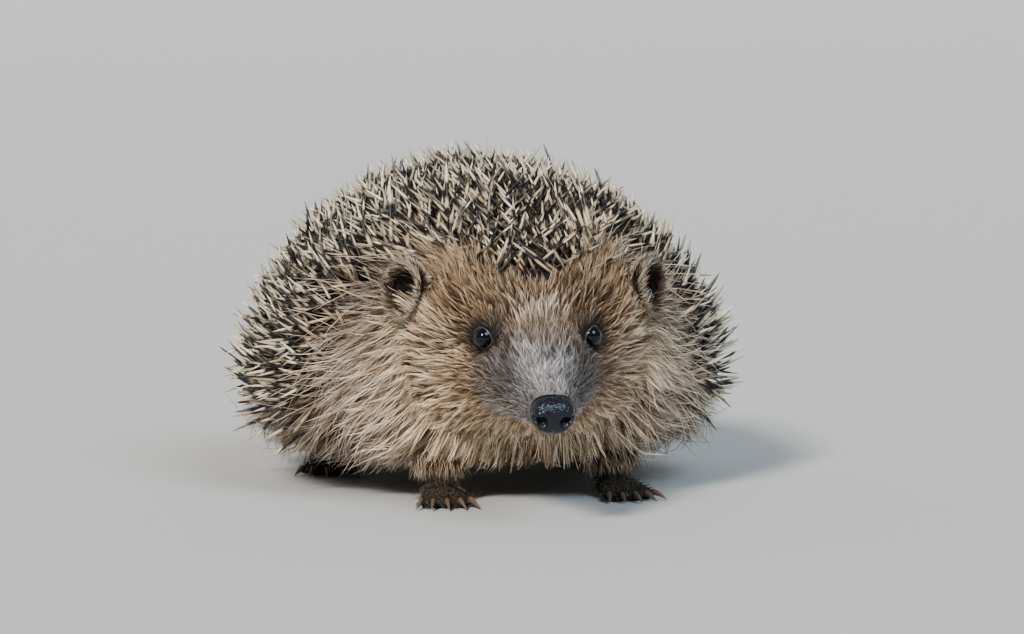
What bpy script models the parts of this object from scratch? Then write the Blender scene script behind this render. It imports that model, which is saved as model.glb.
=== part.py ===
"""A life-size European hedgehog, crouching with its nose held low.

The animal faces -Y and stands on the plane Z = 0, with its own right side at -X.
Each named part of the body is one closed solid, as large as the tips of its coat:
the body is lofted along one line from the snout to the rump and parted there by
thin gaps, and the jaw, ears, legs, feet and tail are set against it.
"""

import math

import bmesh
import bpy
import numpy as np
from mathutils import Matrix, Vector

MM = 0.001
GAP = 0.3 * MM  # clearance between neighbouring solids
CUT_GAP = 0.5 * MM  # how far a solid is grown before it cuts its neighbour

# Pose of the head: turned to the animal's right and dipped towards the ground.
HEAD_TURN = 8.0
HEAD_DIP = 22.0
NOSE_PLACE = Vector((-11.4, -96.2, 30.0)) * MM

# The origin stands on the floor below the middle of the whole length, so once built
# everything moves this far back.
ORIGIN_SHIFT = 7.7 * MM

# Eyes, ears and nose, measured from the nose in the head's own directions.
EYE_BEHIND, EYE_ASIDE, EYE_ABOVE = 31.0 * MM, 13.6 * MM, 5.6 * MM
EYE_RADIUS = 2.9 * MM
EAR_BEHIND, EAR_ASIDE, EAR_ABOVE = 51.0 * MM, 31.0 * MM, 8.6 * MM
EAR_WIDTH, EAR_HEIGHT, EAR_DEPTH, EAR_WALL = 12.5 * MM, 14.0 * MM, 3.6 * MM, 1.2 * MM
EAR_SIDES = 18
NOSE_WIDTH, NOSE_HEIGHT, NOSE_TIP, NOSE_SIDES = 11.4 * MM, 9.4 * MM, 4.9 * MM, 20
NOSE_PROFILE = (  # millimetres behind the nose's middle, share of its width and height
    (3.0, 0.80),
    (1.6, 0.94),
    (0.0, 1.0),
    (-2.2, 0.98),
    (-3.7, 0.84),
    (-4.6, 0.58),
)
NOSTRIL_AHEAD, NOSTRIL_ASIDE, NOSTRIL_BELOW = 3.1 * MM, 3.9 * MM, 1.2 * MM
NOSTRIL_RADII = (2.2 * MM, 1.1 * MM, 1.7 * MM)
MOUTH_BELOW, JAW_REACH, MOUTH_TILT = 3.9 * MM, 25.0 * MM, 5.0

# Rings round the head, all in millimetres:
# distance behind the nose, half-width, rise over the axis, drop under it.
HEAD_RINGS = (
    (3.2, 6.2, 4.9, 4.7),
    (7.0, 7.8, 6.0, 7.0),
    (13.0, 10.4, 7.2, 9.8),
    (20.0, 13.8, 8.8, 12.8),
    (27.0, 16.6, 11.2, 16.4),
    (33.0, 20.2, 14.4, 21.0),
    (39.0, 26.2, 17.2, 27.0),
    (45.0, 31.4, 20.0, 32.6),
)

# Rings round neck and trunk: side, along, height of the centre, turn and dip in degrees,
# half-width, rise over the centre, drop under it.
BODY_RINGS = (
    (-5.0, -50.3, 48.7, 7.0, 14.0, 35.4, 24.0, 35.8),
    (-5.4, -44.0, 45.0, 6.0, 6.0, 41.4, 33.0, 36.8),
    (-3.6, -33.0, 38.0, 4.0, 6.0, 50.0, 44.0, 29.6),
    (-1.8, -20.0, 30.0, 2.0, 3.0, 60.0, 55.4, 22.0),
    (0.0, -3.0, 24.4, 0.0, 0.0, 66.0, 63.6, 16.8),
    (0.0, 15.0, 23.0, 0.0, 0.0, 67.0, 66.0, 15.4),
    (0.0, 33.0, 23.0, 0.0, 0.0, 63.0, 63.2, 15.2),
    (0.0, 50.0, 23.0, 0.0, 0.0, 54.6, 55.0, 14.4),
    (0.0, 64.0, 23.0, 0.0, 0.0, 42.0, 42.4, 12.6),
    (0.0, 74.0, 23.0, 0.0, 0.0, 28.0, 28.6, 9.8),
    (0.0, 80.6, 23.0, 0.0, 0.0, 12.6, 12.6, 5.2),
)
NECK_STARTS_AT, TRUNK_STARTS_AT = 8.25, 11.0  # counted in rings from the nose
RING_SIDES = 40
RUMP_POINT = 1.2 * MM  # the last ring closes to a point this far behind it
HEAD_STEP, NECK_STEP, TRUNK_STEP = 0.42, 0.5, 0.42  # rings between two sections
FLATTER_BELOW = 3.6  # superellipse exponent of the lower half; the upper is round

# Feet: where the heel stands, which way it points and how large it is.
FORE_HEEL, FORE_SPLAY, FORE_SOLE = (23.0 * MM, -30.0 * MM), 8.0, 13.0 * MM
HIND_HEEL, HIND_SPLAY, HIND_SOLE = (31.0 * MM, 53.0 * MM), 16.0, 27.0 * MM
FORE_HALF_WIDTH, HIND_HALF_WIDTH = 6.0 * MM, 6.6 * MM
SOLE_HEIGHT = 6.4 * MM
TOE_COUNT, TOE_RADIUS, TOE_LENGTH, CLAW_LENGTH = 5, 1.75 * MM, 6.0 * MM, 5.0 * MM
TOE_SIDES = 7
LEG_TOP, LEG_SIDES = 30.0 * MM, 14
FORE_ANKLE, HIND_ANKLE, ANKLE_HEIGHT = 0.3, 0.25, 2.6 * MM  # the first two: share of the sole
FORE_LEAN, HIND_LEAN = 5.0 * MM, 0.0
FORE_THICKNESS, HIND_THICKNESS = 5.4 * MM, 6.4 * MM

TAIL_ROOT, TAIL_TIP = Vector((0, 70, 15)) * MM, Vector((0, 86.5, 9.4)) * MM
TAIL_ROOT_RADIUS, TAIL_TIP_RADIUS = 3.6 * MM, 1.3 * MM

# Finish of each part: colour, roughness.
SPINE_COAT = ("spine_coat", (0.30, 0.25, 0.19), 0.6)
FACE_FUR = ("face_fur", (0.27, 0.20, 0.14), 0.8)
BARE_SKIN = ("bare_skin", (0.10, 0.07, 0.055), 0.55)
NOSE_LEATHER = ("nose_leather", (0.012, 0.012, 0.015), 0.22)
EYE_GLOSS = ("eye_gloss", (0.004, 0.004, 0.005), 0.04)


def head_axes():
    """Forward, left and upward unit vectors of the head."""
    return ring_axes(HEAD_TURN, HEAD_DIP)


def ring_axes(turn, dip):
    """Axes of a ring turned to the animal's right and dipped, both in degrees."""
    turn, dip = math.radians(turn), math.radians(dip)
    forward = Vector(
        (-math.sin(turn) * math.cos(dip), -math.cos(turn) * math.cos(dip), -math.sin(dip))
    )
    left = Vector((math.cos(turn), -math.sin(turn), 0))
    return forward, left, forward.cross(left)


def on_head(behind, aside, above):
    """A point given by its distances from the nose in the head's directions."""
    forward, left, up = head_axes()
    return NOSE_PLACE - forward * behind + left * aside + up * above


def all_rings():
    """Every ring from snout to rump as rows of centre, turn, dip and three sizes."""
    rows = []
    for behind, half_width, rise, drop in HEAD_RINGS:
        centre = on_head(behind * MM, 0, 0)
        sizes = [half_width * MM, rise * MM, drop * MM]
        rows.append([*centre, HEAD_TURN, HEAD_DIP, *sizes])
    for side, along, height, turn, dip, half_width, rise, drop in BODY_RINGS:
        lengths = [v * MM for v in (side, along, height)]
        rows.append([*lengths, turn, dip, half_width * MM, rise * MM, drop * MM])
    return np.array(rows)


def eased(rows, at):
    """Rows read between rings on a cubic that never overshoots a row's neighbours."""
    steps = np.diff(rows, axis=0)
    slopes = np.zeros_like(rows)
    before, after = steps[:-1], steps[1:]
    same_way = before * after > 0
    total = np.where(same_way, before + after, 1.0)
    slopes[1:-1] = np.where(same_way, 2 * before * after / total, 0.0)
    slopes[0], slopes[-1] = steps[0], steps[-1]
    low = min(int(at), len(rows) - 2)
    t = at - low
    return (
        rows[low] * (1 + 2 * t) * (1 - t) ** 2
        + slopes[low] * t * (1 - t) ** 2
        + rows[low + 1] * t * t * (3 - 2 * t)
        + slopes[low + 1] * t * t * (t - 1)
    )


def ring_points(row):
    """Points of one ring: round above and flatter below."""
    centre, (turn, dip) = Vector(row[:3]), row[3:5]
    half_width, rise, drop = row[5:]
    _, left, up = ring_axes(turn, dip)
    points = []
    for step in range(RING_SIDES):
        angle = 2 * math.pi * step / RING_SIDES
        across, over = math.cos(angle), math.sin(angle)
        if over < 0:
            power = 2 / FLATTER_BELOW
            across = math.copysign(abs(across) ** power, across)
            over = -(abs(over) ** power)
        height = over * (rise if over > 0 else drop)
        points.append(centre + left * (across * half_width) + up * height)
    return points


def face_outwards(shape):
    """Turns every face of a closed bmesh outwards."""
    shape.normal_update()
    bmesh.ops.recalc_face_normals(shape, faces=shape.faces)
    if shape.calc_volume(signed=True) < 0:
        bmesh.ops.reverse_faces(shape, faces=shape.faces)


def add_object(name, shape, finish):
    """Turns a bmesh into a named, smooth-shaded object with its own material."""
    face_outwards(shape)
    mesh = bpy.data.meshes.new(name)
    shape.to_mesh(mesh)
    shape.free()
    mesh.shade_smooth()
    slot, colour, roughness = finish
    material = bpy.data.materials.get(slot) or bpy.data.materials.new(slot)
    material.use_nodes = True
    shader = material.node_tree.nodes["Principled BSDF"]
    shader.inputs["Base Color"].default_value = (*colour, 1)
    shader.inputs["Roughness"].default_value = roughness
    mesh.materials.append(material)
    made = bpy.data.objects.new(name, mesh)
    bpy.context.scene.collection.objects.link(made)
    return made


def loft(rings, tip=None, root=None):
    """A closed skin through equal rings, ended flat or at a root and a tip point."""
    shape = bmesh.new()
    loops = [[shape.verts.new(point) for point in ring] for ring in rings]
    count = len(loops[0])
    for front, back in zip(loops, loops[1:]):
        for i in range(count):
            j = (i + 1) % count
            shape.faces.new((front[i], front[j], back[j], back[i]))
    for loop, pole in ((loops[0], root), (loops[-1], tip)):
        if pole is None:
            shape.faces.new(loop)
            continue
        end = shape.verts.new(pole)
        for i in range(count):
            shape.faces.new((loop[i], loop[(i + 1) % count], end))
    return shape


def sections(start, end, step):
    """Evenly spaced places of cross-sections, counted in rings from the nose."""
    return np.linspace(start, end, max(2, math.ceil((end - start) / step) + 1))


def body_length(name, places, finish, pointed=False):
    """One length of the body through the given sections, parted from the one ahead."""
    rows = all_rings()
    rings = [ring_points(eased(rows, at)) for at in places]
    if places[0] > 0:
        back = -ring_axes(*eased(rows, places[0])[3:5])[0]
        rings[0] = [point + back * GAP for point in rings[0]]
    tip = Vector(rows[-1][:3]) + Vector((0, RUMP_POINT, 0)) if pointed else None
    return add_object(name, loft(rings, tip), finish)


def whole_body(places):
    """A cutter: head, neck and trunk in one piece, larger by the clearance."""
    rows = all_rings()
    tip = Vector(rows[-1][:3]) + Vector((0, RUMP_POINT, 0))
    skin = loft([ring_points(eased(rows, at)) for at in places], tip)
    return as_cutter(add_object("cutter_body", swollen(skin, CUT_GAP), SPINE_COAT))


def swollen(shape, amount):
    """Moves every vertex of a closed bmesh outwards along its normal."""
    face_outwards(shape)
    shape.normal_update()
    for vertex in shape.verts:
        vertex.co += vertex.normal * amount
    return shape


def as_cutter(made):
    """Keeps a helper out of the model and shows it as wire."""
    made.hide_render = True
    made.display_type = "WIRE"
    return made


def combine(made, other, operation):
    """Adds a Boolean between two objects and applies it to the first one's mesh."""
    modifier = made.modifiers.new(operation.lower(), "BOOLEAN")
    modifier.operation = operation
    modifier.object = other
    modifier.solver = "EXACT"
    graph = bpy.context.evaluated_depsgraph_get()
    mesh = bpy.data.meshes.new_from_object(made.evaluated_get(graph))
    made.modifiers.clear()
    old, made.data = made.data, mesh
    bpy.data.meshes.remove(old)
    mesh.name = made.name


def box_cutter(name, centre, sizes, axes):
    """A box given by its centre, its sizes along three axes, and those axes."""
    shape = bmesh.new()
    bmesh.ops.create_cube(shape, size=1)
    turn = Matrix([axis * size for axis, size in zip(axes, sizes)]).transposed()
    shape.transform(Matrix.Translation(centre) @ turn.to_4x4())
    return as_cutter(add_object(name, shape, BARE_SKIN))


def ball(name, centre, radii, axes, finish, detail=16):
    """An ellipsoid with its three radii along the given axes."""
    shape = bmesh.new()
    bmesh.ops.create_uvsphere(shape, u_segments=detail, v_segments=detail // 2 + 2, radius=1)
    turn = Matrix([axis * size for axis, size in zip(axes, radii)]).transposed()
    shape.transform(Matrix.Translation(centre) @ turn.to_4x4())
    return add_object(name, shape, finish)


def make_body():
    """Head, neck and trunk, with the jaw parted from the head at the mouth."""
    last = len(HEAD_RINGS) + len(BODY_RINGS) - 1
    head_places = sections(0, NECK_STARTS_AT, HEAD_STEP)
    neck_places = sections(NECK_STARTS_AT, TRUNK_STARTS_AT, NECK_STEP)
    trunk_places = sections(TRUNK_STARTS_AT, last, TRUNK_STEP)
    head = body_length("head", head_places, FACE_FUR)
    neck = body_length("neck", neck_places, SPINE_COAT)
    body_length("trunk", trunk_places, SPINE_COAT, pointed=True)
    body = whole_body([*head_places, *neck_places[1:], *trunk_places[1:]])

    forward, left, up = head_axes()
    tilt = Matrix.Rotation(math.radians(MOUTH_TILT), 3, left)
    jaw_axes = (tilt @ forward, left, tilt @ up)
    size = 60 * MM
    corner = on_head(JAW_REACH, 0, -MOUTH_BELOW)
    centre = corner + jaw_axes[0] * (size / 2) - jaw_axes[2] * (size / 2)
    jaw = head.copy()
    jaw.data = head.data.copy()
    jaw.name = jaw.data.name = "lower_jaw"
    bpy.context.scene.collection.objects.link(jaw)
    inner = box_cutter("cutter_jaw", centre, (size, size, size), jaw_axes)
    outer = box_cutter("cutter_mouth", centre, (size + 2 * GAP,) * 3, jaw_axes)
    combine(jaw, inner, "INTERSECT")
    combine(head, outer, "DIFFERENCE")
    return head, neck, body


def make_eye(head, side, sign):
    """An eyeball sunk in its own socket in the head."""
    centre = on_head(EYE_BEHIND, sign * EYE_ASIDE, EYE_ABOVE)
    axes = head_axes()
    ball(f"eye_{side}", centre, (EYE_RADIUS,) * 3, axes, EYE_GLOSS, 14)
    socket = ball(f"cutter_socket_{side}", centre, (EYE_RADIUS + GAP,) * 3, axes, BARE_SKIN)
    combine(head, as_cutter(socket), "DIFFERENCE")


def make_ear(head, neck, side, sign):
    """A cupped ear, set in a pit that opens through the coat in front of it."""
    centre = on_head(EAR_BEHIND, sign * EAR_ASIDE, EAR_ABOVE)
    forward, left, up = head_axes()
    facing = (forward * 0.66 + left * (sign * 0.72) + up * 0.2).normalized()
    across = facing.cross(up).normalized()
    upright = across.cross(facing)

    def ring(reach, depth, grow=0.0):
        loop = []
        for i in range(EAR_SIDES):
            angle = 2 * math.pi * i / EAR_SIDES
            wide = across * (math.cos(angle) * (reach * EAR_WIDTH / 2 + grow))
            tall = upright * (math.sin(angle) * (reach * EAR_HEIGHT / 2 + grow))
            loop.append(centre + wide + tall + facing * (depth - grow))
        return loop

    def cup_depth(reach):
        return EAR_DEPTH * (reach * reach - 1)

    shares = (0.3, 0.58, 0.82, 1.0)
    hollow = [ring(share, cup_depth(share)) for share in shares]
    wall = [ring(share + 0.05, cup_depth(share) - EAR_WALL) for share in shares]
    floor = centre - facing * EAR_DEPTH
    behind = floor - facing * EAR_WALL
    skin = loft(hollow + wall[::-1], root=floor, tip=behind)
    add_object(f"ear_{side}", skin, BARE_SKIN)

    pit = [ring(share + 0.05, cup_depth(share) - EAR_WALL, GAP) for share in shares]
    pit += [ring(1.12, 5 * MM), ring(1.7, 40 * MM)]
    cutter = add_object(
        f"cutter_ear_{side}", loft(pit, root=behind - facing * GAP), BARE_SKIN
    )
    for part in (head, neck):
        combine(part, as_cutter(cutter), "DIFFERENCE")


def make_nose():
    """The bare nose pad, with a nostril on each side."""
    forward, left, up = head_axes()
    rings = []
    for behind, share in NOSE_PROFILE:
        centre = on_head(behind * MM, 0, 0)
        ring = []
        for i in range(NOSE_SIDES):
            angle = 2 * math.pi * i / NOSE_SIDES
            across = math.copysign(abs(math.cos(angle)) ** 0.8, math.cos(angle))
            over = math.copysign(abs(math.sin(angle)) ** 0.8, math.sin(angle))
            wide = left * (across * share * NOSE_WIDTH / 2 * (1 - 0.1 * (over < 0) * -over))
            ring.append(centre + wide + up * (over * share * NOSE_HEIGHT / 2))
        rings.append(ring)
    tip = on_head(-NOSE_TIP, 0, 0)
    nose = add_object("nose", loft(rings, tip), NOSE_LEATHER)
    for side, sign in (("left", 1), ("right", -1)):
        facing = (forward * 0.75 + left * (sign * 0.66)).normalized()
        across = facing.cross(up).normalized()
        nostril = ball(
            f"cutter_nostril_{side}",
            on_head(-NOSTRIL_AHEAD, sign * NOSTRIL_ASIDE, -NOSTRIL_BELOW),
            NOSTRIL_RADII,
            (facing, across, across.cross(facing)),
            NOSE_LEATHER,
            detail=10,
        )
        combine(nose, as_cutter(nostril), "DIFFERENCE")


def turned(angle):
    """Forward and outward directions on the ground for a foot splayed outwards."""
    along, aside = math.cos(math.radians(angle)), math.sin(math.radians(angle))
    return Vector((aside, -along, 0)), Vector((along, aside, 0))


def tube(points, radii, sides, flat=1.0, across=None):
    """A closed loft of rings along a path, flattened across if asked."""
    rings = []
    for k, (point, radius) in enumerate(zip(points, radii)):
        ahead = points[min(k + 1, len(points) - 1)] - points[max(k - 1, 0)]
        side = across or ahead.cross(Vector((0, 0, 1)))
        side = (side - ahead * (side.dot(ahead) / ahead.length_squared)).normalized()
        rise = side.cross(ahead).normalized()
        ring = []
        for i in range(sides):
            angle = 2 * math.pi * i / sides
            wide, tall = math.cos(angle) * radius, math.sin(angle) * radius * flat
            ring.append(point + side * wide + rise * tall)
        rings.append(ring)
    return loft(rings)


def make_foot(name, heel, splay, sole_length, half_width, sign):
    """A flat-soled foot with five toes, each ending in its claw."""
    ahead, outward = turned(splay)
    heel_point = Vector((heel[0], heel[1], 0))
    if sign < 0:
        mirror = Matrix.Scale(-1, 3, Vector((1, 0, 0)))
        ahead, outward, heel_point = mirror @ ahead, mirror @ outward, mirror @ heel_point
    height = Vector((0, 0, SOLE_HEIGHT * 0.42))
    shares = (0.0, 0.18, 0.55, 0.85, 1.0)
    widths = (0.62, 0.84, 0.9, 1.0, 0.86)
    points = [heel_point + ahead * (share * sole_length) + height for share in shares]
    foot = add_object(
        name,
        tube(points, [half_width * w for w in widths], 12, 0.56, across=outward),
        BARE_SKIN,
    )
    for toe in range(TOE_COUNT):
        spread = (toe - (TOE_COUNT - 1) / 2) / ((TOE_COUNT - 1) / 2)
        shorter = 1 - 0.3 * spread * spread
        way = (ahead + outward * (0.42 * spread)).normalized()
        root = heel_point + ahead * (sole_length - 1.8 * MM)
        root += outward * (spread * (half_width - TOE_RADIUS * 0.8))
        reach = TOE_LENGTH * shorter
        path, radii = [], []
        for share, radius, lift in (
            (0.0, 0.95, 1.0),
            (0.55, 1.0, 1.0),
            (1.0, 0.86, 0.95),
            (1.15, 0.5, 0.95),
        ):
            path.append(root + way * (share * reach) + Vector((0, 0, TOE_RADIUS * lift)))
            radii.append(TOE_RADIUS * radius)
        base = path[-1].copy()
        for share, radius, lift in ((0.45, 0.34, -0.1), (1.0, 0.14, -0.62)):
            path.append(base + way * (share * CLAW_LENGTH) + Vector((0, 0, lift * TOE_RADIUS)))
            radii.append(TOE_RADIUS * radius)
        digit = add_object(f"cutter_{name}_toe_{toe}", tube(path, radii, TOE_SIDES), BARE_SKIN)
        combine(foot, as_cutter(digit), "UNION")
    flatten_sole(foot)
    return foot, ahead, outward, heel_point


def flatten_sole(foot):
    """Cuts the foot at the ground so that it stands on a flat face."""
    shape = bmesh.new()
    shape.from_mesh(foot.data)
    cut = bmesh.ops.bisect_plane(
        shape,
        geom=shape.verts[:] + shape.edges[:] + shape.faces[:],
        plane_co=(0, 0, 0),
        plane_no=(0, 0, -1),
        clear_outer=True,
    )
    edges = [part for part in cut["geom_cut"] if isinstance(part, bmesh.types.BMEdge)]
    bmesh.ops.holes_fill(shape, edges=edges)
    face_outwards(shape)
    shape.to_mesh(foot.data)
    shape.free()


def make_leg(name, foot_parts, ankle_share, sole_length, lean, thickness, body):
    """The visible shank between the foot and the coat, cut clear of both."""
    foot, ahead, outward, heel_point = foot_parts
    ankle = heel_point + ahead * (ankle_share * sole_length) + Vector((0, 0, ANKLE_HEIGHT))
    top = ankle - ahead * lean + Vector((0, 0, LEG_TOP - ankle.z))
    points = [ankle.lerp(top, share) for share in (0, 0.3, 0.65, 1)]
    radii = [thickness * grow for grow in (0.8, 0.86, 1.1, 1.35)]
    leg = add_object(name, tube(points, radii, LEG_SIDES, across=outward), FACE_FUR)
    combine(leg, body, "DIFFERENCE")
    clearance = bmesh.new()
    clearance.from_mesh(foot.data)
    cutter = add_object(f"cutter_{name}", swollen(clearance, CUT_GAP), BARE_SKIN)
    combine(leg, as_cutter(cutter), "DIFFERENCE")


def main():
    """Builds the hedgehog in an empty scene."""
    for old in list(bpy.data.objects):
        bpy.data.objects.remove(old)
    head, neck, body = make_body()
    for side, sign in (("left", 1), ("right", -1)):
        make_eye(head, side, sign)
        make_ear(head, neck, side, sign)
        fore = make_foot(
            f"forefoot_{side}", FORE_HEEL, FORE_SPLAY, FORE_SOLE, FORE_HALF_WIDTH, sign
        )
        name = f"foreleg_{side}"
        make_leg(name, fore, FORE_ANKLE, FORE_SOLE, FORE_LEAN, FORE_THICKNESS, body)
        hind = make_foot(
            f"hindfoot_{side}", HIND_HEEL, HIND_SPLAY, HIND_SOLE, HIND_HALF_WIDTH, sign
        )
        name = f"hindleg_{side}"
        make_leg(name, hind, HIND_ANKLE, HIND_SOLE, HIND_LEAN, HIND_THICKNESS, body)
    make_nose()
    points = [TAIL_ROOT.lerp(TAIL_TIP, share) for share in (0, 0.4, 0.8, 1)]
    spread = TAIL_TIP_RADIUS - TAIL_ROOT_RADIUS
    radii = [TAIL_ROOT_RADIUS + spread * share for share in (0, 0.4, 0.8, 1)]
    tail = add_object("tail", tube(points, radii, 12), FACE_FUR)
    combine(tail, body, "DIFFERENCE")
    for made in bpy.data.objects:
        made.data.transform(Matrix.Translation((0, ORIGIN_SHIFT, 0)))


main()
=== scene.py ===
"""Finish of the hedgehog: one skin under its spines and hair, with eyes, nose and claws.

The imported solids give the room. The tips of the coat reach them, and the skin lies
inside them by the depth of the coat. Lengths are in metres unless a name ends in _mm.
"""

import logging
import math
from dataclasses import dataclass, field, replace
from enum import Enum
from functools import cached_property
from typing import Callable

import bpy
import numpy as np
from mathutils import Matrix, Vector


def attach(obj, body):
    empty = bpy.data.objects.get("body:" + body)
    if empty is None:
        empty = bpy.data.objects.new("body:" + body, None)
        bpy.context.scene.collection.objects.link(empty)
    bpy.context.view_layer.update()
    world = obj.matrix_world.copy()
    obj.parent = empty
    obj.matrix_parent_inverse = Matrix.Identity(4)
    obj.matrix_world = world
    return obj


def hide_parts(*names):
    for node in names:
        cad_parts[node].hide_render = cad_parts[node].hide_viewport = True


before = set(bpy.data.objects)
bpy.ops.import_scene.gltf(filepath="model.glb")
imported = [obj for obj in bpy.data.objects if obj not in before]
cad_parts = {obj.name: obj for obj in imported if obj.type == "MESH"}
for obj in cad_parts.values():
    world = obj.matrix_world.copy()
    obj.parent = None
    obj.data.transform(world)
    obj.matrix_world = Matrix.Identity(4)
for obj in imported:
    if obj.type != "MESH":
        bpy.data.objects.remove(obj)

Array = np.ndarray
Weight = Callable[[Array, Array, Array], Array]
Shade = tuple[int, int, int]
Socket = bpy.types.NodeSocket

LOG = logging.getLogger("hedgehog")
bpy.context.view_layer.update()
MM = 0.001
TINY = 1e-12
UP = np.array([0.0, 0.0, 1.0])
ASIDE = np.array([1.0, 0.0, 0.0])
# Turns by the golden ratio spread places evenly.
GOLDEN = 0.6180339887
# Side of the square that one tuft takes on the bake's map.
TUFT_PATCH = 0.003
# How far the neighbours lie from which a slope of the skin is taken.
NEAR_STATION = 0.03
NEAR_ROUND = 0.003


class Side(Enum):
    """The animal's own left and right."""

    LEFT = 1
    RIGHT = -1

    @property
    def word(self) -> str:
        """The side as the names of pieces give it."""
        return self.name.lower()


# -------- arrays and colours


def unit(vectors: Array) -> Array:
    """Each vector divided by its own length."""
    return vectors / np.maximum(np.linalg.norm(vectors, axis=-1, keepdims=True), TINY)


def dot(first: Array, second: Array) -> Array:
    """Row by row scalar product."""
    return np.sum(first * second, axis=-1)


def flattened(vectors: Array, normal: Array) -> Array:
    """Unit vectors of what is left of each vector without its part along the normal."""
    return unit(vectors - normal * dot(vectors, normal)[:, None])


def ramp(value: Array, low: float, high: float) -> Array:
    """A smooth step: 0 up to low, 1 from high on, and 3x^2 - 2x^3 between them."""
    share = np.clip((value - low) / (high - low), 0.0, 1.0)
    return share * share * (3.0 - 2.0 * share)


def blend(first: Array, second: Array, share: Array) -> Array:
    """Moves from first to second by a share for each row."""
    share = np.asarray(share)[..., None]
    return first * (1.0 - share) + second * share


def tone(red: float, green: float, blue: float) -> Array:
    """A screen colour from 0 to 255 as linear light: ((c + 0.055) / 1.055) ^ 2.4."""
    shown = np.array([red, green, blue], dtype=float) / 255.0
    return np.where(shown <= 0.04045, shown / 12.92, ((shown + 0.055) / 1.055) ** 2.4)


def wobble(points: Array, size: float, seed: int = 0) -> Array:
    """Soft noise from -1 to 1: a mean of sines, size long, along ways set by the seed."""
    rng = np.random.default_rng(100 + seed)
    ways = unit(rng.normal(size=(6, 3))) * (2.0 * math.pi / size)
    phases = rng.uniform(0.0, 2.0 * math.pi, 6)
    return np.sin(points @ ways.T + phases).mean(axis=-1) * 2.0


@dataclass
class Shell:
    """Vertices and faces of one surface before it becomes a mesh.

    Attributes:
        points: Vertex places.
        corners: Vertex numbers of all face corners, face after face.
        starts: Where each face starts in corners.
        patch: Place on the bake's map for each corner, or None.
        marks: One number or one colour for each vertex, by name.
    """

    points: Array
    corners: Array
    starts: Array
    patch: Array | None = None
    marks: dict[str, Array] = field(default_factory=dict)


def join(shells: list[Shell]) -> Shell:
    """Puts shells without marks in one, with the later ones' vertex numbers moved up."""
    points, corners, starts, moved, passed = [], [], [], 0, 0
    for shell in shells:
        points.append(shell.points)
        corners.append(shell.corners + moved)
        starts.append(shell.starts + passed)
        moved += len(shell.points)
        passed += len(shell.corners)
    return Shell(np.concatenate(points), np.concatenate(corners), np.concatenate(starts))


def wall(rings: int, sides: int, closed: bool = False) -> Array:
    """Quads between neighbouring rings, whose vertices are numbered ring after ring.

    Args:
        rings: How many rings there are.
        sides: Vertices of each ring.
        closed: Whether the last ring joins the first.

    Returns:
        Vertex numbers, of shape (rings or one less, sides, 4).
    """
    here = np.arange(sides)
    after = (here + 1) % sides
    count = rings if closed else rings - 1
    low = (np.arange(count) * sides)[:, None]
    high = (np.arange(1, count + 1) % rings * sides)[:, None]
    return np.stack([low + here, low + after, high + after, high + here], -1)


def closed_grid(rings: Array) -> Shell:
    """A closed tube through rings of equal size, with a pole at each ring end's middle.

    Args:
        rings: Places of shape (rings, sides, 3), running anticlockwise about the way
            from the first ring to the last.

    Returns:
        Quads along the tube and a fan of triangles at both ends.
    """
    count, sides = rings.shape[:2]
    points = np.concatenate([rings.reshape(-1, 3), rings[:1].mean(1), rings[-1:].mean(1)])
    here = np.arange(sides)
    after = (here + 1) % sides
    quads = wall(count, sides)
    first = np.stack([after, here, np.full(sides, count * sides)], -1)
    last = np.stack([here, after, np.full(sides, count * sides + 1)], -1)
    last[:, :2] += (count - 1) * sides
    corners = np.concatenate([quads.ravel(), first.ravel(), last.ravel()])
    four, three = quads.size // 4, 2 * sides
    starts = np.concatenate([np.arange(four) * 4, four * 4 + np.arange(three) * 3])
    return Shell(points, corners, starts)


def as_object(name: str, shell: Shell) -> bpy.types.Object:
    """Makes a smooth-shaded object of a shell, with its map and its marks.

    Args:
        name: The object's and the mesh's name.
        shell: What to make.

    Returns:
        The object, linked into the scene at the origin.
    """
    mesh = bpy.data.meshes.new(name)
    mesh.vertices.add(len(shell.points))
    mesh.vertices.foreach_set("co", shell.points.astype(np.float32).ravel())
    mesh.loops.add(len(shell.corners))
    mesh.loops.foreach_set("vertex_index", shell.corners.astype(np.int32))
    mesh.polygons.add(len(shell.starts))
    mesh.polygons.foreach_set("loop_start", shell.starts.astype(np.int32))
    mesh.update(calc_edges=True)
    mesh.shade_smooth()
    if shell.patch is not None:
        layer = mesh.uv_layers.new(name="OFBake")
        layer.uv.foreach_set("vector", shell.patch.astype(np.float32).ravel())
    for mark, values in shell.marks.items():
        set_mark(mesh, mark, values)
    made = bpy.data.objects.new(name, mesh)
    bpy.context.scene.collection.objects.link(made)
    return made


def set_mark(mesh: bpy.types.Mesh, mark: str, values: Array) -> None:
    """Writes a number or a linear colour for each vertex into a named attribute."""
    if values.ndim == 1:
        layer = mesh.attributes.new(mark, "FLOAT", "POINT")
        layer.data.foreach_set("value", values.astype(np.float32))
        return
    layer = mesh.attributes.new(mark, "FLOAT_COLOR", "POINT")
    full = np.concatenate([values, np.ones((len(values), 1))], axis=1)
    layer.data.foreach_set("color", full.astype(np.float32).ravel())


# -------- the body's shape


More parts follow.
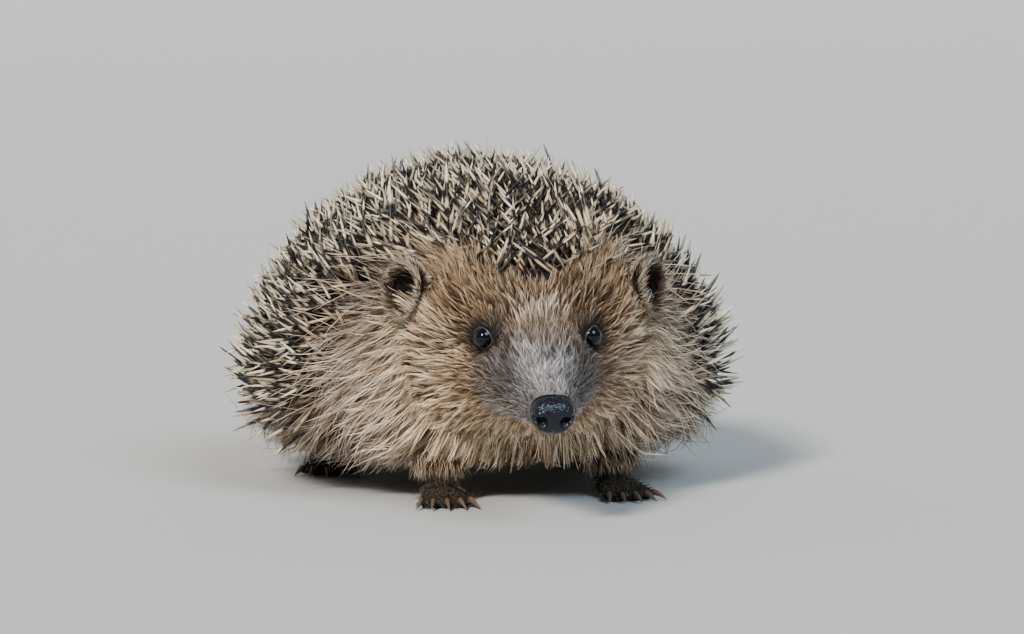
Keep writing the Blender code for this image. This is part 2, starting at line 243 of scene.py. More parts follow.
@dataclass(frozen=True)
class BodyPlan:
    """The animal's form as rings from snout to rump, and the coat's depth on it.

    A place on it is (station, round): station counts rings from the nose, and round
    goes from 0 at the animal's left over the back at 0.25 to its right at 0.5 and
    along the belly. Head rings give distance behind the nose, half-width, rise and
    drop. Body rings give side, along, height, turn, dip, half-width, rise and drop.
    """

    head_turn: float = 8.0
    head_dip: float = 22.0
    nose_mm: tuple[float, float, float] = (-11.4, -88.5, 30.0)
    head_rings: tuple[tuple[float, ...], ...] = (
        (0.8, 6.3, 5.1, 4.9),
        (7.0, 7.8, 6.0, 7.0),
        (13.0, 10.4, 7.2, 9.8),
        (20.0, 13.8, 8.8, 12.8),
        (27.0, 16.6, 11.2, 16.4),
        (33.0, 20.2, 14.4, 21.0),
        (39.0, 26.2, 17.2, 27.0),
        (45.0, 31.4, 20.0, 32.6),
    )
    body_rings: tuple[tuple[float, ...], ...] = (
        (-5.0, -42.6, 48.7, 7.0, 14.0, 35.4, 24.0, 35.8),
        (-5.4, -36.3, 45.0, 6.0, 6.0, 41.4, 33.0, 36.8),
        (-3.6, -25.3, 38.0, 4.0, 6.0, 50.0, 44.0, 29.6),
        (-1.8, -12.3, 30.0, 2.0, 3.0, 60.0, 55.4, 22.0),
        (0.0, 4.7, 24.4, 0.0, 0.0, 66.0, 63.6, 16.8),
        (0.0, 22.7, 23.0, 0.0, 0.0, 67.0, 66.0, 15.4),
        (0.0, 40.7, 23.0, 0.0, 0.0, 63.0, 63.2, 15.2),
        (0.0, 57.7, 23.0, 0.0, 0.0, 54.6, 55.0, 14.4),
        (0.0, 71.7, 23.0, 0.0, 0.0, 42.0, 42.4, 12.6),
        (0.0, 81.7, 23.0, 0.0, 0.0, 28.0, 28.6, 9.8),
        (0.0, 88.3, 23.0, 0.0, 0.0, 12.6, 12.6, 5.2),
        (0.0, 89.5, 23.0, 0.0, 0.0, 0.6, 0.6, 0.4),
    )
    flatter_below: float = 3.6
    skin_flatter_below: float = 2.6
    stations: tuple[float, ...] = (0, 2, 4, 6, 7, 8, 9, 10, 12, 17, 19)
    coat_top_mm: tuple[float, ...] = (0.5, 0.9, 1.6, 3.0, 5.4, 11, 13.5, 15, 15.5, 15, 13)
    coat_side_mm: tuple[float, ...] = (0.5, 1.0, 2.0, 3.4, 5.2, 8.4, 10.5, 12, 14.5, 14.5, 13)
    coat_under_mm: tuple[float, ...] = (0.5, 1.2, 2.5, 4.0, 5, 6, 6.5, 5, 4.5, 4.5, 4)
    hair_mm: tuple[float, ...] = (2.6, 4.4, 7.5, 12.0, 16.5, 20, 21, 21, 20, 18, 17)
    fall: tuple[float, ...] = (0, 0, 0, 0, 0.05, 0.12, 0.2, 0.3, 0.42, 0.5, 0.5)

    @property
    def last(self) -> float:
        """Station of the rump's end."""
        return float(len(self.head_rings) + len(self.body_rings) - 1)

    @cached_property
    def nose(self) -> Array:
        """Where the head's axis starts."""
        return np.array(self.nose_mm) * MM

    @cached_property
    def head_axes(self) -> tuple[Array, Array, Array]:
        """Forward, left and upward unit vectors of the head."""
        axes = ring_axes(np.array([self.head_turn]), np.array([self.head_dip]))
        return axes[0][0], axes[1][0], axes[2][0]

    def on_head(self, behind: Array, aside: Array, above: Array) -> Array:
        """Places given by distances behind, left of and above the nose."""
        forward, left, up = self.head_axes
        parts = [np.atleast_1d(part)[:, None] for part in (behind, aside, above)]
        return self.nose - forward * parts[0] + left * parts[1] + up * parts[2]

    def head_place(self, points: Array) -> tuple[Array, Array, Array]:
        """How far behind, left of and above the nose points lie, along the head's axes."""
        forward, left, up = self.head_axes
        away = points - self.nose
        return -(away @ forward), away @ left, away @ up

    def outwards(self, side: Side) -> Array:
        """The way that eyes and ears face: forwards, to their own side and a little up."""
        forward, left, up = self.head_axes
        return unit(forward * 0.66 + left * (side.value * 0.72) + up * 0.2)

    @cached_property
    def rows(self) -> Array:
        """Each ring as centre, turn, dip, half-width, rise and drop."""
        sizes = np.array(self.head_rings) * MM
        zero = np.zeros(len(sizes))
        centres = self.on_head(sizes[:, 0], zero, zero)
        turns = np.tile([self.head_turn, self.head_dip], (len(sizes), 1))
        head = np.concatenate([centres, turns, sizes[:, 1:]], axis=1)
        body = np.array(self.body_rings)
        body[:, [0, 1, 2, 5, 6, 7]] *= MM
        return np.concatenate([head, body])

    @cached_property
    def slopes(self) -> Array:
        """Slope at each ring: the harmonic mean of both sides, or 0 at a turning point."""
        steps = np.diff(self.rows, axis=0)
        before, after = steps[:-1], steps[1:]
        together = np.where(before * after > 0, before + after, 1.0)
        inner = np.where(before * after > 0, 2.0 * before * after / together, 0.0)
        return np.concatenate([steps[:1], inner, steps[-1:]])

    def ring_at(self, station: Array) -> Array:
        """Rings between the given ones, on a cubic that never overshoots them."""
        low = np.clip(station.astype(int), 0, len(self.rows) - 2)
        share = (station - low)[:, None]
        return (
            self.rows[low] * (1 + 2 * share) * (1 - share) ** 2
            + self.slopes[low] * share * (1 - share) ** 2
            + self.rows[low + 1] * share**2 * (3 - 2 * share)
            + self.slopes[low + 1] * share**2 * (share - 1)
        )

    def tips(self, station: Array, around: Array) -> Array:
        """Where the tips of the coat reach: a half-ellipse above, a flatter one below."""
        return ring_points(self.ring_at(station), around, self.flatter_below)

    def bare(self, station: Array, around: Array) -> Array:
        """The skin without folds: each ring drawn in by the coat's depth, square to it.

        The part of the depth that lies along the body follows from how fast the
        half-width grows from ring to ring.
        """
        station = np.clip(station, 0.0, self.last)
        row = self.ring_at(station)
        ahead = self.ring_at(np.clip(station - 0.05, 0.0, self.last))
        behind = self.ring_at(np.clip(station + 0.05, 0.0, self.last))
        run = np.linalg.norm(behind[:, :3] - ahead[:, :3], axis=1) + 1e-9
        steep = (behind[:, 5] - ahead[:, 5]) / run
        level = 1.0 / np.sqrt(1.0 + steep**2)
        forward = ring_axes(row[:, 3], row[:, 4])[0]
        side = np.interp(station, self.stations, self.coat_side_mm) * MM
        row = row.copy()
        row[:, :3] -= forward * (side * steep * level)[:, None]
        row[:, 5] -= side * level
        row[:, 6] -= np.interp(station, self.stations, self.coat_top_mm) * MM * level
        row[:, 7] -= np.interp(station, self.stations, self.coat_under_mm) * MM * level
        row[:, 5:] = np.maximum(row[:, 5:], 0.3 * MM)
        return ring_points(row, around, self.skin_flatter_below)

    def skin(self, station: Array, around: Array) -> Array:
        """The skin with its folds and eye sockets."""
        return Sculpting().shaped(self.bare(station, around))

    def frame_at(self, station: Array, around: Array) -> tuple[Array, Array, Array]:
        """Place, outward normal and backward tangent of the skin, from close neighbours."""
        here = self.skin(station, around)
        inside = np.clip(station, NEAR_STATION, self.last - NEAR_STATION)
        back = self.skin(inside + NEAR_STATION, around) - self.skin(inside - NEAR_STATION, around)
        normal = unit(np.cross(back, self.step_round(inside, around)))
        return here, normal, flattened(back, normal)

    def step_round(self, station: Array, around: Array) -> Array:
        """From the skin a little before a place to a little after it, round the body."""
        return self.skin(station, around + NEAR_ROUND) - self.skin(station, around - NEAR_ROUND)


def ring_axes(turn: Array, dip: Array) -> tuple[Array, Array, Array]:
    """Forward, left and upward unit vectors of rings turned right and dipped, in degrees."""
    turn, dip = np.radians(turn), np.radians(dip)
    flat = np.zeros_like(turn)
    forward = np.stack(
        [-np.sin(turn) * np.cos(dip), -np.cos(turn) * np.cos(dip), -np.sin(dip)], axis=-1
    )
    left = np.stack([np.cos(turn), -np.sin(turn), flat], axis=-1)
    return forward, left, np.cross(forward, left)


def ring_points(row: Array, around: Array, flatter: float) -> Array:
    """Points of rings: an ellipse above, and below |x|^n + |y|^n = 1 with n = flatter."""
    _, left, up = ring_axes(row[:, 3], row[:, 4])
    across, over = np.cos(2 * math.pi * around), np.sin(2 * math.pi * around)
    power = np.where(over < 0, 2.0 / flatter, 1.0)
    across = np.sign(across) * np.abs(across) ** power
    over = np.sign(over) * np.abs(over) ** power
    height = over * np.where(over > 0, row[:, 6], row[:, 7])
    return row[:, :3] + left * (across * row[:, 5])[:, None] + up * height[:, None]


@dataclass(frozen=True)
class EyePlan:
    """Where an eye sits in the head, its size and the way it looks."""

    side: Side
    behind: float = 31.0 * MM
    aside: float = 13.6 * MM
    above: float = 5.6 * MM
    radius: float = 2.9 * MM
    lid_height: float = 0.7 * MM

    @cached_property
    def centre(self) -> Array:
        """Middle of the eyeball."""
        return PLAN.on_head(self.behind, self.side.value * self.aside, self.above)[0]

    @cached_property
    def looks(self) -> Array:
        """Unit vector out of the middle of the eye."""
        return PLAN.outwards(self.side)

    @cached_property
    def across(self) -> Array:
        """Unit vector along the lids, towards the back of the head."""
        return unit(np.cross(PLAN.head_axes[2], self.looks)) * self.side.value

    @cached_property
    def upright(self) -> Array:
        """Unit vector from the lower lid to the upper one."""
        up = PLAN.head_axes[2]
        return unit(up - self.looks * float(up @ self.looks))


@dataclass(frozen=True)
class Sculpting:
    """Soft moves of the skin: a socket for each eye and the mouth's fold."""

    socket_full: float = 3.6 * MM
    socket_fades: float = 9.0 * MM
    socket_slope: float = 0.35
    socket_share: float = 0.85
    fold_depth: float = 0.9 * MM
    fold_width: float = 0.9 * MM
    mouth_below: float = 3.9 * MM
    mouth_reach: float = 25.0 * MM
    mouth_tilt: float = -5.0

    def shaped(self, points: Array) -> Array:
        """Moves points by every fold in turn.

        Args:
            points: Places on the bare skin.

        Returns:
            The moved places.
        """
        for side in Side:
            points = self._socket(points, EyePlan(side))
        return self._mouth(points)

    def _socket(self, points: Array, eye: EyePlan) -> Array:
        """Draws the skin near an eye to a cone across it, so that the lids lie flat."""
        away = points - eye.centre
        height = away @ eye.looks
        out = np.linalg.norm(away - height[:, None] * eye.looks, axis=1)
        near = 1.0 - ramp(out, self.socket_full, self.socket_fades)
        near *= ramp(height, -9.0 * MM, -4.0 * MM)
        wanted = eye.lid_height - self.socket_slope * np.maximum(out - eye.radius, 0.0)
        return points + eye.looks * ((wanted - height) * near * self.socket_share)[:, None]

    def _mouth(self, points: Array) -> Array:
        """Presses in exp(-(distance / width)^2) along the plane between the jaws."""
        behind, aside, above = PLAN.head_place(points)
        slope = math.tan(math.radians(self.mouth_tilt))
        jaws = -self.mouth_below - (behind - self.mouth_reach) * slope
        line = np.exp(-(((above - jaws) / self.fold_width) ** 2))
        line *= ramp(behind, 1.0 * MM, 5.0 * MM) * (1.0 - ramp(behind, 20.0 * MM, 27.0 * MM))
        line *= (np.abs(aside) > 1.0 * MM) * self.fold_depth
        inward = -unit(points - PLAN.on_head(behind, aside * 0, above * 0 - 2 * MM))
        return points + inward * line[:, None]


PLAN = BodyPlan()


@dataclass(frozen=True)
class Markings:
    """Colours of the animal by place, the same for the skin and for the coat.

    Distances on the head are in millimetres behind, aside of and above the nose.
    """

    muzzle: Shade = (184, 182, 185)
    bridge: Shade = (252, 250, 252)
    between: Shade = (250, 226, 197)
    mask: Shade = (88, 80, 76)
    moustache: Shade = (206, 199, 190)
    forehead: Shade = (186, 153, 117)
    cheek: Shade = (216, 190, 159)
    ruff: Shade = (198, 178, 156)
    flank: Shade = (152, 132, 111)
    belly: Shade = (160, 143, 124)
    legs: Shade = (104, 92, 82)

    def at(self, points: Array) -> Array:
        """Colour in linear light at each point.

        Args:
            points: Places on or near the skin.

        Returns:
            One colour for each point.
        """
        behind, aside, above = (part / MM for part in PLAN.head_place(points))
        aside = np.abs(aside)
        colour = self._from_nose_to_flank(points, behind)
        colour = self._forehead(colour, behind, aside, above)
        colour = self._bridge(colour, points, behind, aside, above)
        colour = self._mask(colour, points, behind, aside, above)
        colour = self._jaw(colour, behind, above)
        return self._edge_and_feet(colour, points)

    def _from_nose_to_flank(self, points: Array, behind: Array) -> Array:
        """The ground colour, which changes with the distance behind the nose."""
        keys = (0.0, 16.0, 31.0, 40.0, 50.0, 64.0)
        steps = (self.muzzle, self.muzzle, self.forehead, self.cheek, self.cheek, self.ruff)
        table = np.array([tone(*step) for step in steps])
        colour = np.stack([np.interp(behind, keys, table[:, i]) for i in range(3)], axis=-1)
        flank = ramp(points[:, 1], -30.0 * MM, -10.0 * MM)
        return blend(colour, tone(*self.flank), flank)

    def _forehead(self, colour: Array, behind: Array, aside: Array, above: Array) -> Array:
        """A brown forehead, and paler hair between the eyes."""
        brow = ramp(behind, 26, 34) * ramp(above, 1, 8) * (1 - ramp(behind, 56, 66))
        brow *= 1 - ramp(aside, 20, 32)
        colour = blend(colour, tone(*self.forehead), brow)
        middle = (1 - ramp(aside, 3.0, 10.0)) * ramp(behind, 18, 25)
        middle *= (1 - ramp(behind, 31, 39)) * ramp(above, 0, 4)
        return blend(colour, tone(*self.between), 0.85 * middle)

    def _bridge(self, colour: Array, points: Array, behind: Array, aside: Array,
                above: Array) -> Array:
        """A near-white blaze on the snout's back that widens and fades towards the eyes."""
        half = np.interp(behind, (3, 10, 20, 32), (2.6, 4.2, 6.4, 8.0))
        bridge = (1 - ramp(aside, half * 0.45, half * 1.7)) * ramp(above, -1, 3)
        bridge *= ramp(behind, 0, 3) * (1 - ramp(behind, 13, 30))
        bridge *= np.clip(0.86 + 0.5 * wobble(points, 6.0 * MM, 4), 0.0, 1.0)
        return blend(colour, 1.15 * tone(*self.bridge), bridge)

    def _mask(self, colour: Array, points: Array, behind: Array, aside: Array,
              above: Array) -> Array:
        """Dark hair round the eyes, and a streak from them down both sides of the snout."""
        for side in Side:
            away = (points - EyePlan(side).centre) / MM
            spread = np.linalg.norm(away * np.array([1.0, 1.0, 1.15]), axis=1)
            colour = blend(colour, tone(*self.mask), 0.85 * (1 - ramp(spread, 3.4, 8.0)))
        streak = np.exp(-(((aside - 10.5) / 3.6) ** 2)) * ramp(behind, 8, 14)
        streak *= (1 - ramp(behind, 26, 34)) * ramp(above, -7, 0)
        return blend(colour, tone(*self.mask), 0.55 * streak)

    def _jaw(self, colour: Array, behind: Array, above: Array) -> Array:
        """Painted light on hair below the cheek, brighter to lift the shade where it faces down,
        and a pale moustache over the lips.
        """
        # Painted light: the underside of the cheek is brightened by a fifth where it faces down
        # into shade.
        painted_light_below_cheek = ramp(behind, 22, 30) * (1 - ramp(behind, 48, 60)) * (1 - ramp(above, -12, -4))
        colour = colour * (1.0 + 0.22 * painted_light_below_cheek)[:, None]
        lip = ramp(behind, 4, 10) * (1 - ramp(behind, 20, 28)) * (1 - ramp(above, -5, -1))
        return blend(colour, tone(*self.moustache), 0.7 * lip * ramp(above, -14, -8))

    def _edge_and_feet(self, colour: Array, points: Array) -> Array:
        """A grey belly, darker hair along the spines' edge, dark feet and uneven tone."""
        low = 1 - ramp(points[:, 2], 10.0 * MM, 16.0 * MM)
        colour = blend(colour, tone(*self.belly), low * 0.7)
        near = 1 - ramp(np.abs(brow_line(points) + 4.0), 4.0, 11.0)
        colour = colour * (1.0 - 0.22 * near)[:, None]
        foot = 1 - ramp(points[:, 2], 6.0 * MM, 9.0 * MM)
        colour = blend(colour, tone(*self.legs), foot)
        return colour * (1.0 + 0.12 * wobble(points, 9.0 * MM, 3))[:, None]


def brow_line(points: Array) -> Array:
    """Millimetres that points lie above the lower edge of the spined back.

    The edge's height is read along the body, turned with the head at the front, where it
    comes down to a peak in the middle of the forehead.
    """
    turn = math.tan(math.radians(PLAN.head_turn))
    front = 1.0 - ramp(points[:, 1], -32.0 * MM, -10.0 * MM)
    along = (points[:, 1] + points[:, 0] * turn * front) / MM
    edge = np.interp(
        along,
        (-58.0, -52.0, -44.0, -36.0, -32.0, -28.0, -26.0, -24.0, 8.0, 90.0),
        (58.2, 60.2, 60.6, 59.6, 57.4, 50.0, 36.0, 21.0, 19.0, 16.0),
    )
    aside = np.abs(PLAN.head_place(points)[1]) / MM
    peak = 5.5 * ramp(aside, 4.0, 20.0) - 2.0
    edge = edge + peak * (1.0 - ramp(along, -38.0, -30.0))
    return points[:, 2] / MM - edge + 1.2 * wobble(points, 7.0 * MM, 5)


# -------- materials


class Bench:
    """Lays out nodes in one tree and links them."""

    def __init__(self, tree: bpy.types.NodeTree) -> None:
        """Keeps the tree that nodes go into."""
        self.tree = tree

    def feed(self, node: bpy.types.Node, inputs: dict) -> None:
        """Sets a node's inputs, by name or number, to values or from output sockets."""
        for name, value in inputs.items():
            if isinstance(value, Socket):
                self.tree.links.new(value, node.inputs[name])
            else:
                node.inputs[name].default_value = value

    def add(self, kind: str, inputs: dict | None = None, **settings: object) -> bpy.types.Node:
        """Adds a node.

        Args:
            kind: The node's type name.
            inputs: Values or output sockets by input name or number.
            **settings: The node's own properties.

        Returns:
            The new node.
        """
        node = self.tree.nodes.new(kind)
        for name, value in settings.items():
            setattr(node, name, value)
        self.feed(node, inputs or {})
        return node

    def math(self, kind: str, first: object, second: object = 0.0) -> Socket:
        """The result of one arithmetic step."""
        return self.add("ShaderNodeMath", {0: first, 1: second}, operation=kind).outputs[0]

    def attribute(self, name: str, output: str = "Fac") -> Socket:
        """One of the mesh's own attributes, as a number or as its colour."""
        return self.add("ShaderNodeAttribute", attribute_name=name).outputs[output]

    def place(self) -> Socket:
        """Places in the object's own coordinates."""
        return self.add("ShaderNodeTexCoord").outputs["Object"]

    def noise(self, place: Socket, scale: object, detail: float) -> Socket:
        """Soft noise from 0 to 1, with so many spots in a metre."""
        inputs = {"Vector": place, "Scale": scale, "Detail": detail}
        return self.add("ShaderNodeTexNoise", inputs).outputs[0]

    def mix(self, share: object, first: object, second: object, kind: str = "MIX") -> Socket:
        """A colour between two, or one acting on the other."""
        inputs = {0: share, 6: first, 7: second}
        return self.add("ShaderNodeMix", inputs, data_type="RGBA", blend_type=kind).outputs[2]

    def shaded(self, colour: object, red: object, green: object = None,
               blue: object = None) -> Socket:
        """A colour times one number, or times one for each channel."""
        parts = {0: red, 1: red if green is None else green, 2: red if blue is None else blue}
        factor = self.add("ShaderNodeCombineColor", parts).outputs[0]
        return self.mix(1.0, colour, factor, "MULTIPLY")

    def bands(self, value: object, stops: tuple[tuple[float, tuple], ...]) -> Socket:
        """A colour ramp with a place and a colour for each stop, read at the value."""
        node = self.add("ShaderNodeValToRGB", {0: value})
        points = node.color_ramp.elements
        while len(points) < len(stops):
            points.new(0.5)
        for point, (place, colour) in zip(points, stops):
            point.position = place
            point.color = colour
        return node.outputs[0]

    def bump(self, height: object, strength: float, distance: float) -> Socket:
        """A normal tilted by a height that stands for so much distance."""
        inputs = {"Height": height, "Strength": strength, "Distance": distance}
        return self.add("ShaderNodeBump", inputs).outputs[0]


def opaque(colour: Array) -> tuple[float, float, float, float]:
    """A linear colour with full alpha."""
    return (float(colour[0]), float(colour[1]), float(colour[2]), 1.0)


def new_group(
    name: str, inputs: dict[str, str], outputs: dict[str, str]
) -> tuple[bpy.types.NodeTree, Bench, bpy.types.Node, bpy.types.Node]:
    """Makes a shader node group with the named sockets.

    Args:
        name: The group's name.
        inputs: Socket type by input name.
        outputs: Socket type by output name.

    Returns:
        The group, a bench for it, its input node and its output node.
    """
    group = bpy.data.node_groups.new(name, "ShaderNodeTree")
    for label, kind in inputs.items():
        group.interface.new_socket(label, in_out="INPUT", socket_type=kind)
    for label, kind in outputs.items():
        group.interface.new_socket(label, in_out="OUTPUT", socket_type=kind)
    bench = Bench(group)
    return group, bench, bench.add("NodeGroupInput"), bench.add("NodeGroupOutput")


def hair_tint_group() -> bpy.types.NodeTree:
    """Group that colours a hair: dark at the root, partly its own colour and partly painted shade
    deep in the coat, paler to the tip, each a little apart.

    Shade along the shaft is root + (tip - root) * shaft ^ 2.2, times 1 + (chance - 0.5)
    * spread. Its blue falls faster than its red, so that dark hair is browner.
    """
    number, colour = "NodeSocketFloat", "NodeSocketColor"
    group, bench, given, result = new_group(
        "hair_tint",
        {"Marking": colour, "Shaft": number, "Chance_And_Depth_Shade": number, "Root": number,
         "Tip": number, "Spread": number},
        {"Color": colour, "Roughness": number},
    )
    marking, shaft, chance_and_depth_shade, root, tip, spread = given.outputs[:6]
    share = bench.math("POWER", shaft, 2.2)
    rise = bench.math("SUBTRACT", tip, root)
    shade = bench.math("ADD", root, bench.math("MULTIPLY", rise, share))
    apart = bench.math("MULTIPLY", bench.math("SUBTRACT", chance_and_depth_shade, 0.5), spread)
    shade = bench.math("MULTIPLY", shade, bench.math("ADD", apart, 1.0))
    shade = bench.math("MAXIMUM", shade, 0.01)
    red, blue = bench.math("POWER", shade, 0.86), bench.math("POWER", shade, 1.16)
    rough = bench.math("ADD", bench.math("MULTIPLY", apart, -0.1), 0.5)
    bench.feed(result, {"Color": bench.shaded(marking, red, shade, blue), "Roughness": rough})
    return group


def speckle_group() -> bpy.types.NodeTree:
    """Group that gives fine uneven darkening and a height for a fine bump.

    The height is fine noise + 0.6 * coarse noise, and the shade is 0.7 * height + 0.42.
    """
    number = "NodeSocketFloat"
    group, bench, given, result = new_group(
        "speckle", {"Scale": number}, {"Shade": number, "Height": number}
    )
    place = bench.place()
    coarse = bench.noise(place, 260.0, 4.0)
    fine = bench.noise(place, given.outputs["Scale"], 6.0)
    height = bench.math("ADD", fine, bench.math("MULTIPLY", coarse, 0.6))
    shade = bench.math("ADD", bench.math("MULTIPLY", height, 0.7), 0.42)
    bench.feed(result, {"Shade": shade, "Height": height})
    return group


GROUPS: dict[str, bpy.types.NodeTree] = {}


def new_material(name: str) -> tuple[bpy.types.Material, Bench, bpy.types.Node]:
    """A material with one Principled shader, a bench for its tree and that shader."""
    made = bpy.data.materials.new(name)
    made.use_nodes = True
    return made, Bench(made.node_tree), made.node_tree.nodes["Principled BSDF"]


@dataclass(frozen=True)
class HairFinish:
    """Finish of hair: the marking times a brightness from root to tip, whose dark root is partly
    painted shade deep in the coat.

    Spread is how far the brightness of single hairs differs.
    """

    name: str
    # Dark roots: partly the hair's own colour, partly painted shade deep in the coat.
    root: float = 0.05
    tip: float = 1.75
    spread: float = 1.85
    specular: float = 0.35

    def material(self) -> bpy.types.Material:
        """The material, which reads the coat's marks."""
        made, bench, shader = new_material(self.name)
        given = {
            "Marking": bench.attribute("marking", "Color"),
            "Shaft": bench.attribute("shaft"),
            "Chance_And_Depth_Shade": bench.attribute("chance_and_depth_shade"),
            "Root": self.root,
            "Tip": self.tip,
            "Spread": self.spread,
        }
        tint = bench.add("ShaderNodeGroup", given, node_tree=GROUPS["hair_tint"])
        bench.feed(shader, {
            "Base Color": tint.outputs["Color"],
            "Roughness": tint.outputs["Roughness"],
            "Specular IOR Level": self.specular,
        })
        return made


@dataclass(frozen=True)
class SpineFinish:
    """Finish of the spines: a dark tan root that is painted shade deep in the coat, cream
    shaft, one dark band and a pale tip.

    The bands drift by that share of the length from spine to spine. The dimmest spine
    has that brightness, and the brightest 1 more.
    """

    name: str = "spine_horn"
    # Painted shade: the lower shaft is dark where light doesn't reach it, though real spines are
    # pale there.
    root: Shade = (82, 62, 45)
    shaft: Shade = (202, 180, 148)
    band: Shade = (36, 26, 21)
    tip: Shade = (230, 215, 187)
    drift: float = 0.16
    dimmest: float = 0.05
    roughness: float = 0.4
    specular: float = 0.3

    def material(self) -> bpy.types.Material:
        """The material; a spine's own random draw, darker for deeper spines as painted shade, sets
        its brightness and moves its bands.
        """
        made, bench, shader = new_material(self.name)
        chance_and_depth_shade = bench.attribute("chance_and_depth_shade")
        moved = bench.math("FRACT", bench.math("MULTIPLY", chance_and_depth_shade, 7.0))
        moved = bench.math("MULTIPLY", bench.math("SUBTRACT", moved, 0.5), self.drift)
        place = bench.math("ADD", bench.attribute("shaft"), moved)
        root, pale, dark, tip = (
            opaque(tone(*colour)) for colour in (self.root, self.shaft, self.band, self.tip)
        )
        # Painted shade on the first 0.28 of each spine, then cream, a dark band and a pale tip.
        colour = bench.bands(
            place,
            ((0.0, root), (0.28, root), (0.44, pale), (0.54, pale), (0.61, dark),
             (0.76, dark), (0.81, tip)),
        )
        bench.feed(shader, {
            "Base Color": bench.shaded(colour, bench.math("ADD", chance_and_depth_shade, self.dimmest)),
            "Roughness": self.roughness,
            "Specular IOR Level": self.specular,
        })
        return made


@dataclass(frozen=True)
class SkinFinish:
    """Finish of the skin: the markings, darker, with fine speckle and a felted bump."""

    name: str = "skin"
    darker: float = 0.2
    speckles: float = 1500.0
    roughness: float = 0.72
    specular: float = 0.2
    bump: float = 0.6
    bump_depth: float = 0.4 * MM

    def material(self) -> bpy.types.Material:
        """The material, which reads the skin's marking."""
        made, bench, shader = new_material(self.name)
        speckle = bench.add("ShaderNodeGroup", {"Scale": self.speckles},
                            node_tree=GROUPS["speckle"])
        shade = bench.math("MULTIPLY", speckle.outputs["Shade"], self.darker)
        bench.feed(shader, {
            "Base Color": bench.shaded(bench.attribute("marking", "Color"), shade),
            "Roughness": self.roughness,
            "Specular IOR Level": self.specular,
            "Normal": bench.bump(speckle.outputs["Height"], self.bump, self.bump_depth),
        })
        return made


@dataclass(frozen=True)
class NoseFinish:
    """Finish of the nose pad: black, moist and pebbled, with its reflections tinted sky-blue as a
    painted reflection colour.
    """

    name: str = "nose_leather"
    dark: Shade = (6, 6, 8)
    light: Shade = (22, 22, 27)
    pebbles: float = 1700.0
    blotches: float = 700.0
    specular: float = 0.45
    # Painted reflection: tints every reflection on the nose sky-blue.
    painted_sky_reflection_tint: tuple[float, ...] = (0.72, 0.84, 1.0, 1.0)
    bump: float = 0.9
    bump_depth: float = 0.26 * MM

    def material(self) -> bpy.types.Material:
        """The material: cells about 0.5 mm across, raised in their middles."""
        made, bench, shader = new_material(self.name)
        place = bench.place()
        cells = bench.add("ShaderNodeTexVoronoi", {"Vector": place, "Scale": self.pebbles},
                          feature="SMOOTH_F1")
        blotch = bench.noise(place, self.blotches, 3.0)
        height = bench.math("SUBTRACT", 1.0, cells.outputs["Distance"])
        bench.feed(shader, {
            "Base Color": bench.mix(blotch, opaque(tone(*self.dark)), opaque(tone(*self.light))),
            "Roughness": bench.math("ADD", bench.math("MULTIPLY", blotch, 0.3), 0.14),
            "Specular IOR Level": self.specular,
            "Specular Tint": self.painted_sky_reflection_tint,
            "Normal": bench.bump(height, self.bump, self.bump_depth),
        })
        return made


@dataclass(frozen=True)
class EyeFinish:
    """Finish of the eyes: wet and near-black, with a dark brown iris in the middle, and reflections
    tinted sky-blue as a painted reflection colour.
    """

    name: str = "eye_gloss"
    iris: Shade = (15, 11, 9)
    rim: Shade = (7, 7, 8)
    roughness: float = 0.03
    specular: float = 0.4
    # Painted reflection: tints every reflection on the eye sky-blue.
    painted_sky_reflection_tint: tuple[float, ...] = (0.62, 0.82, 1.0, 1.0)

    def material(self) -> bpy.types.Material:
        """The material, which reads the ball's iris mark."""
        made, bench, shader = new_material(self.name)
        rim, iris = opaque(tone(*self.rim)), opaque(tone(*self.iris))
        bench.feed(shader, {
            "Base Color": bench.mix(bench.attribute("iris"), rim, iris),
            "Roughness": self.roughness,
            "Specular IOR Level": self.specular,
            "Specular Tint": self.painted_sky_reflection_tint,
        })
        return made


@dataclass(frozen=True)
class HornFinish:
    """Finish of claws and eyelids: smooth skin or horn, a little uneven."""

    name: str
    colour: Shade
    roughness: float
    speckles: float = 900.0
    bump: float = 0.3
    bump_depth: float = 0.15 * MM

    def material(self) -> bpy.types.Material:
        """The material: its colour with speckles."""
        made, bench, shader = new_material(self.name)
        speckle = bench.add("ShaderNodeGroup", {"Scale": self.speckles},
                            node_tree=GROUPS["speckle"])
        shade = bench.math("ADD", bench.math("MULTIPLY", speckle.outputs["Shade"], 0.5), 0.5)
        bench.feed(shader, {
            "Base Color": bench.shaded(opaque(tone(*self.colour)), shade),
            "Roughness": self.roughness,
            "Normal": bench.bump(speckle.outputs["Height"], self.bump, self.bump_depth),
        })
        return made


# -------- pieces of flesh


def finish_piece(piece: bpy.types.Object, slot: str, material: bpy.types.Material,
                 *nodes: str) -> bpy.types.Object:
    """Dresses a piece, lets it ride on the root and hides the solids that it replaces.

    Args:
        piece: The new object.
        slot: Not used.
        material: What it is made of.
        *nodes: The solids that it stands for.

    Returns:
        The same object.
    """
    piece.data.materials.append(material)
    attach(piece, "root")
    if nodes:
        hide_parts(*nodes)
    faces = sum(len(polygon.vertices) - 2 for polygon in piece.data.polygons)
    LOG.info("%s: %d triangles", piece.name, faces)
    return piece


def make_piece(name: str, shell: Shell, slot: str, material: bpy.types.Material,
               *nodes: str) -> None:
    """Makes a finished piece of a shell, in place of the nodes."""
    finish_piece(as_object(name, shell), slot, material, *nodes)


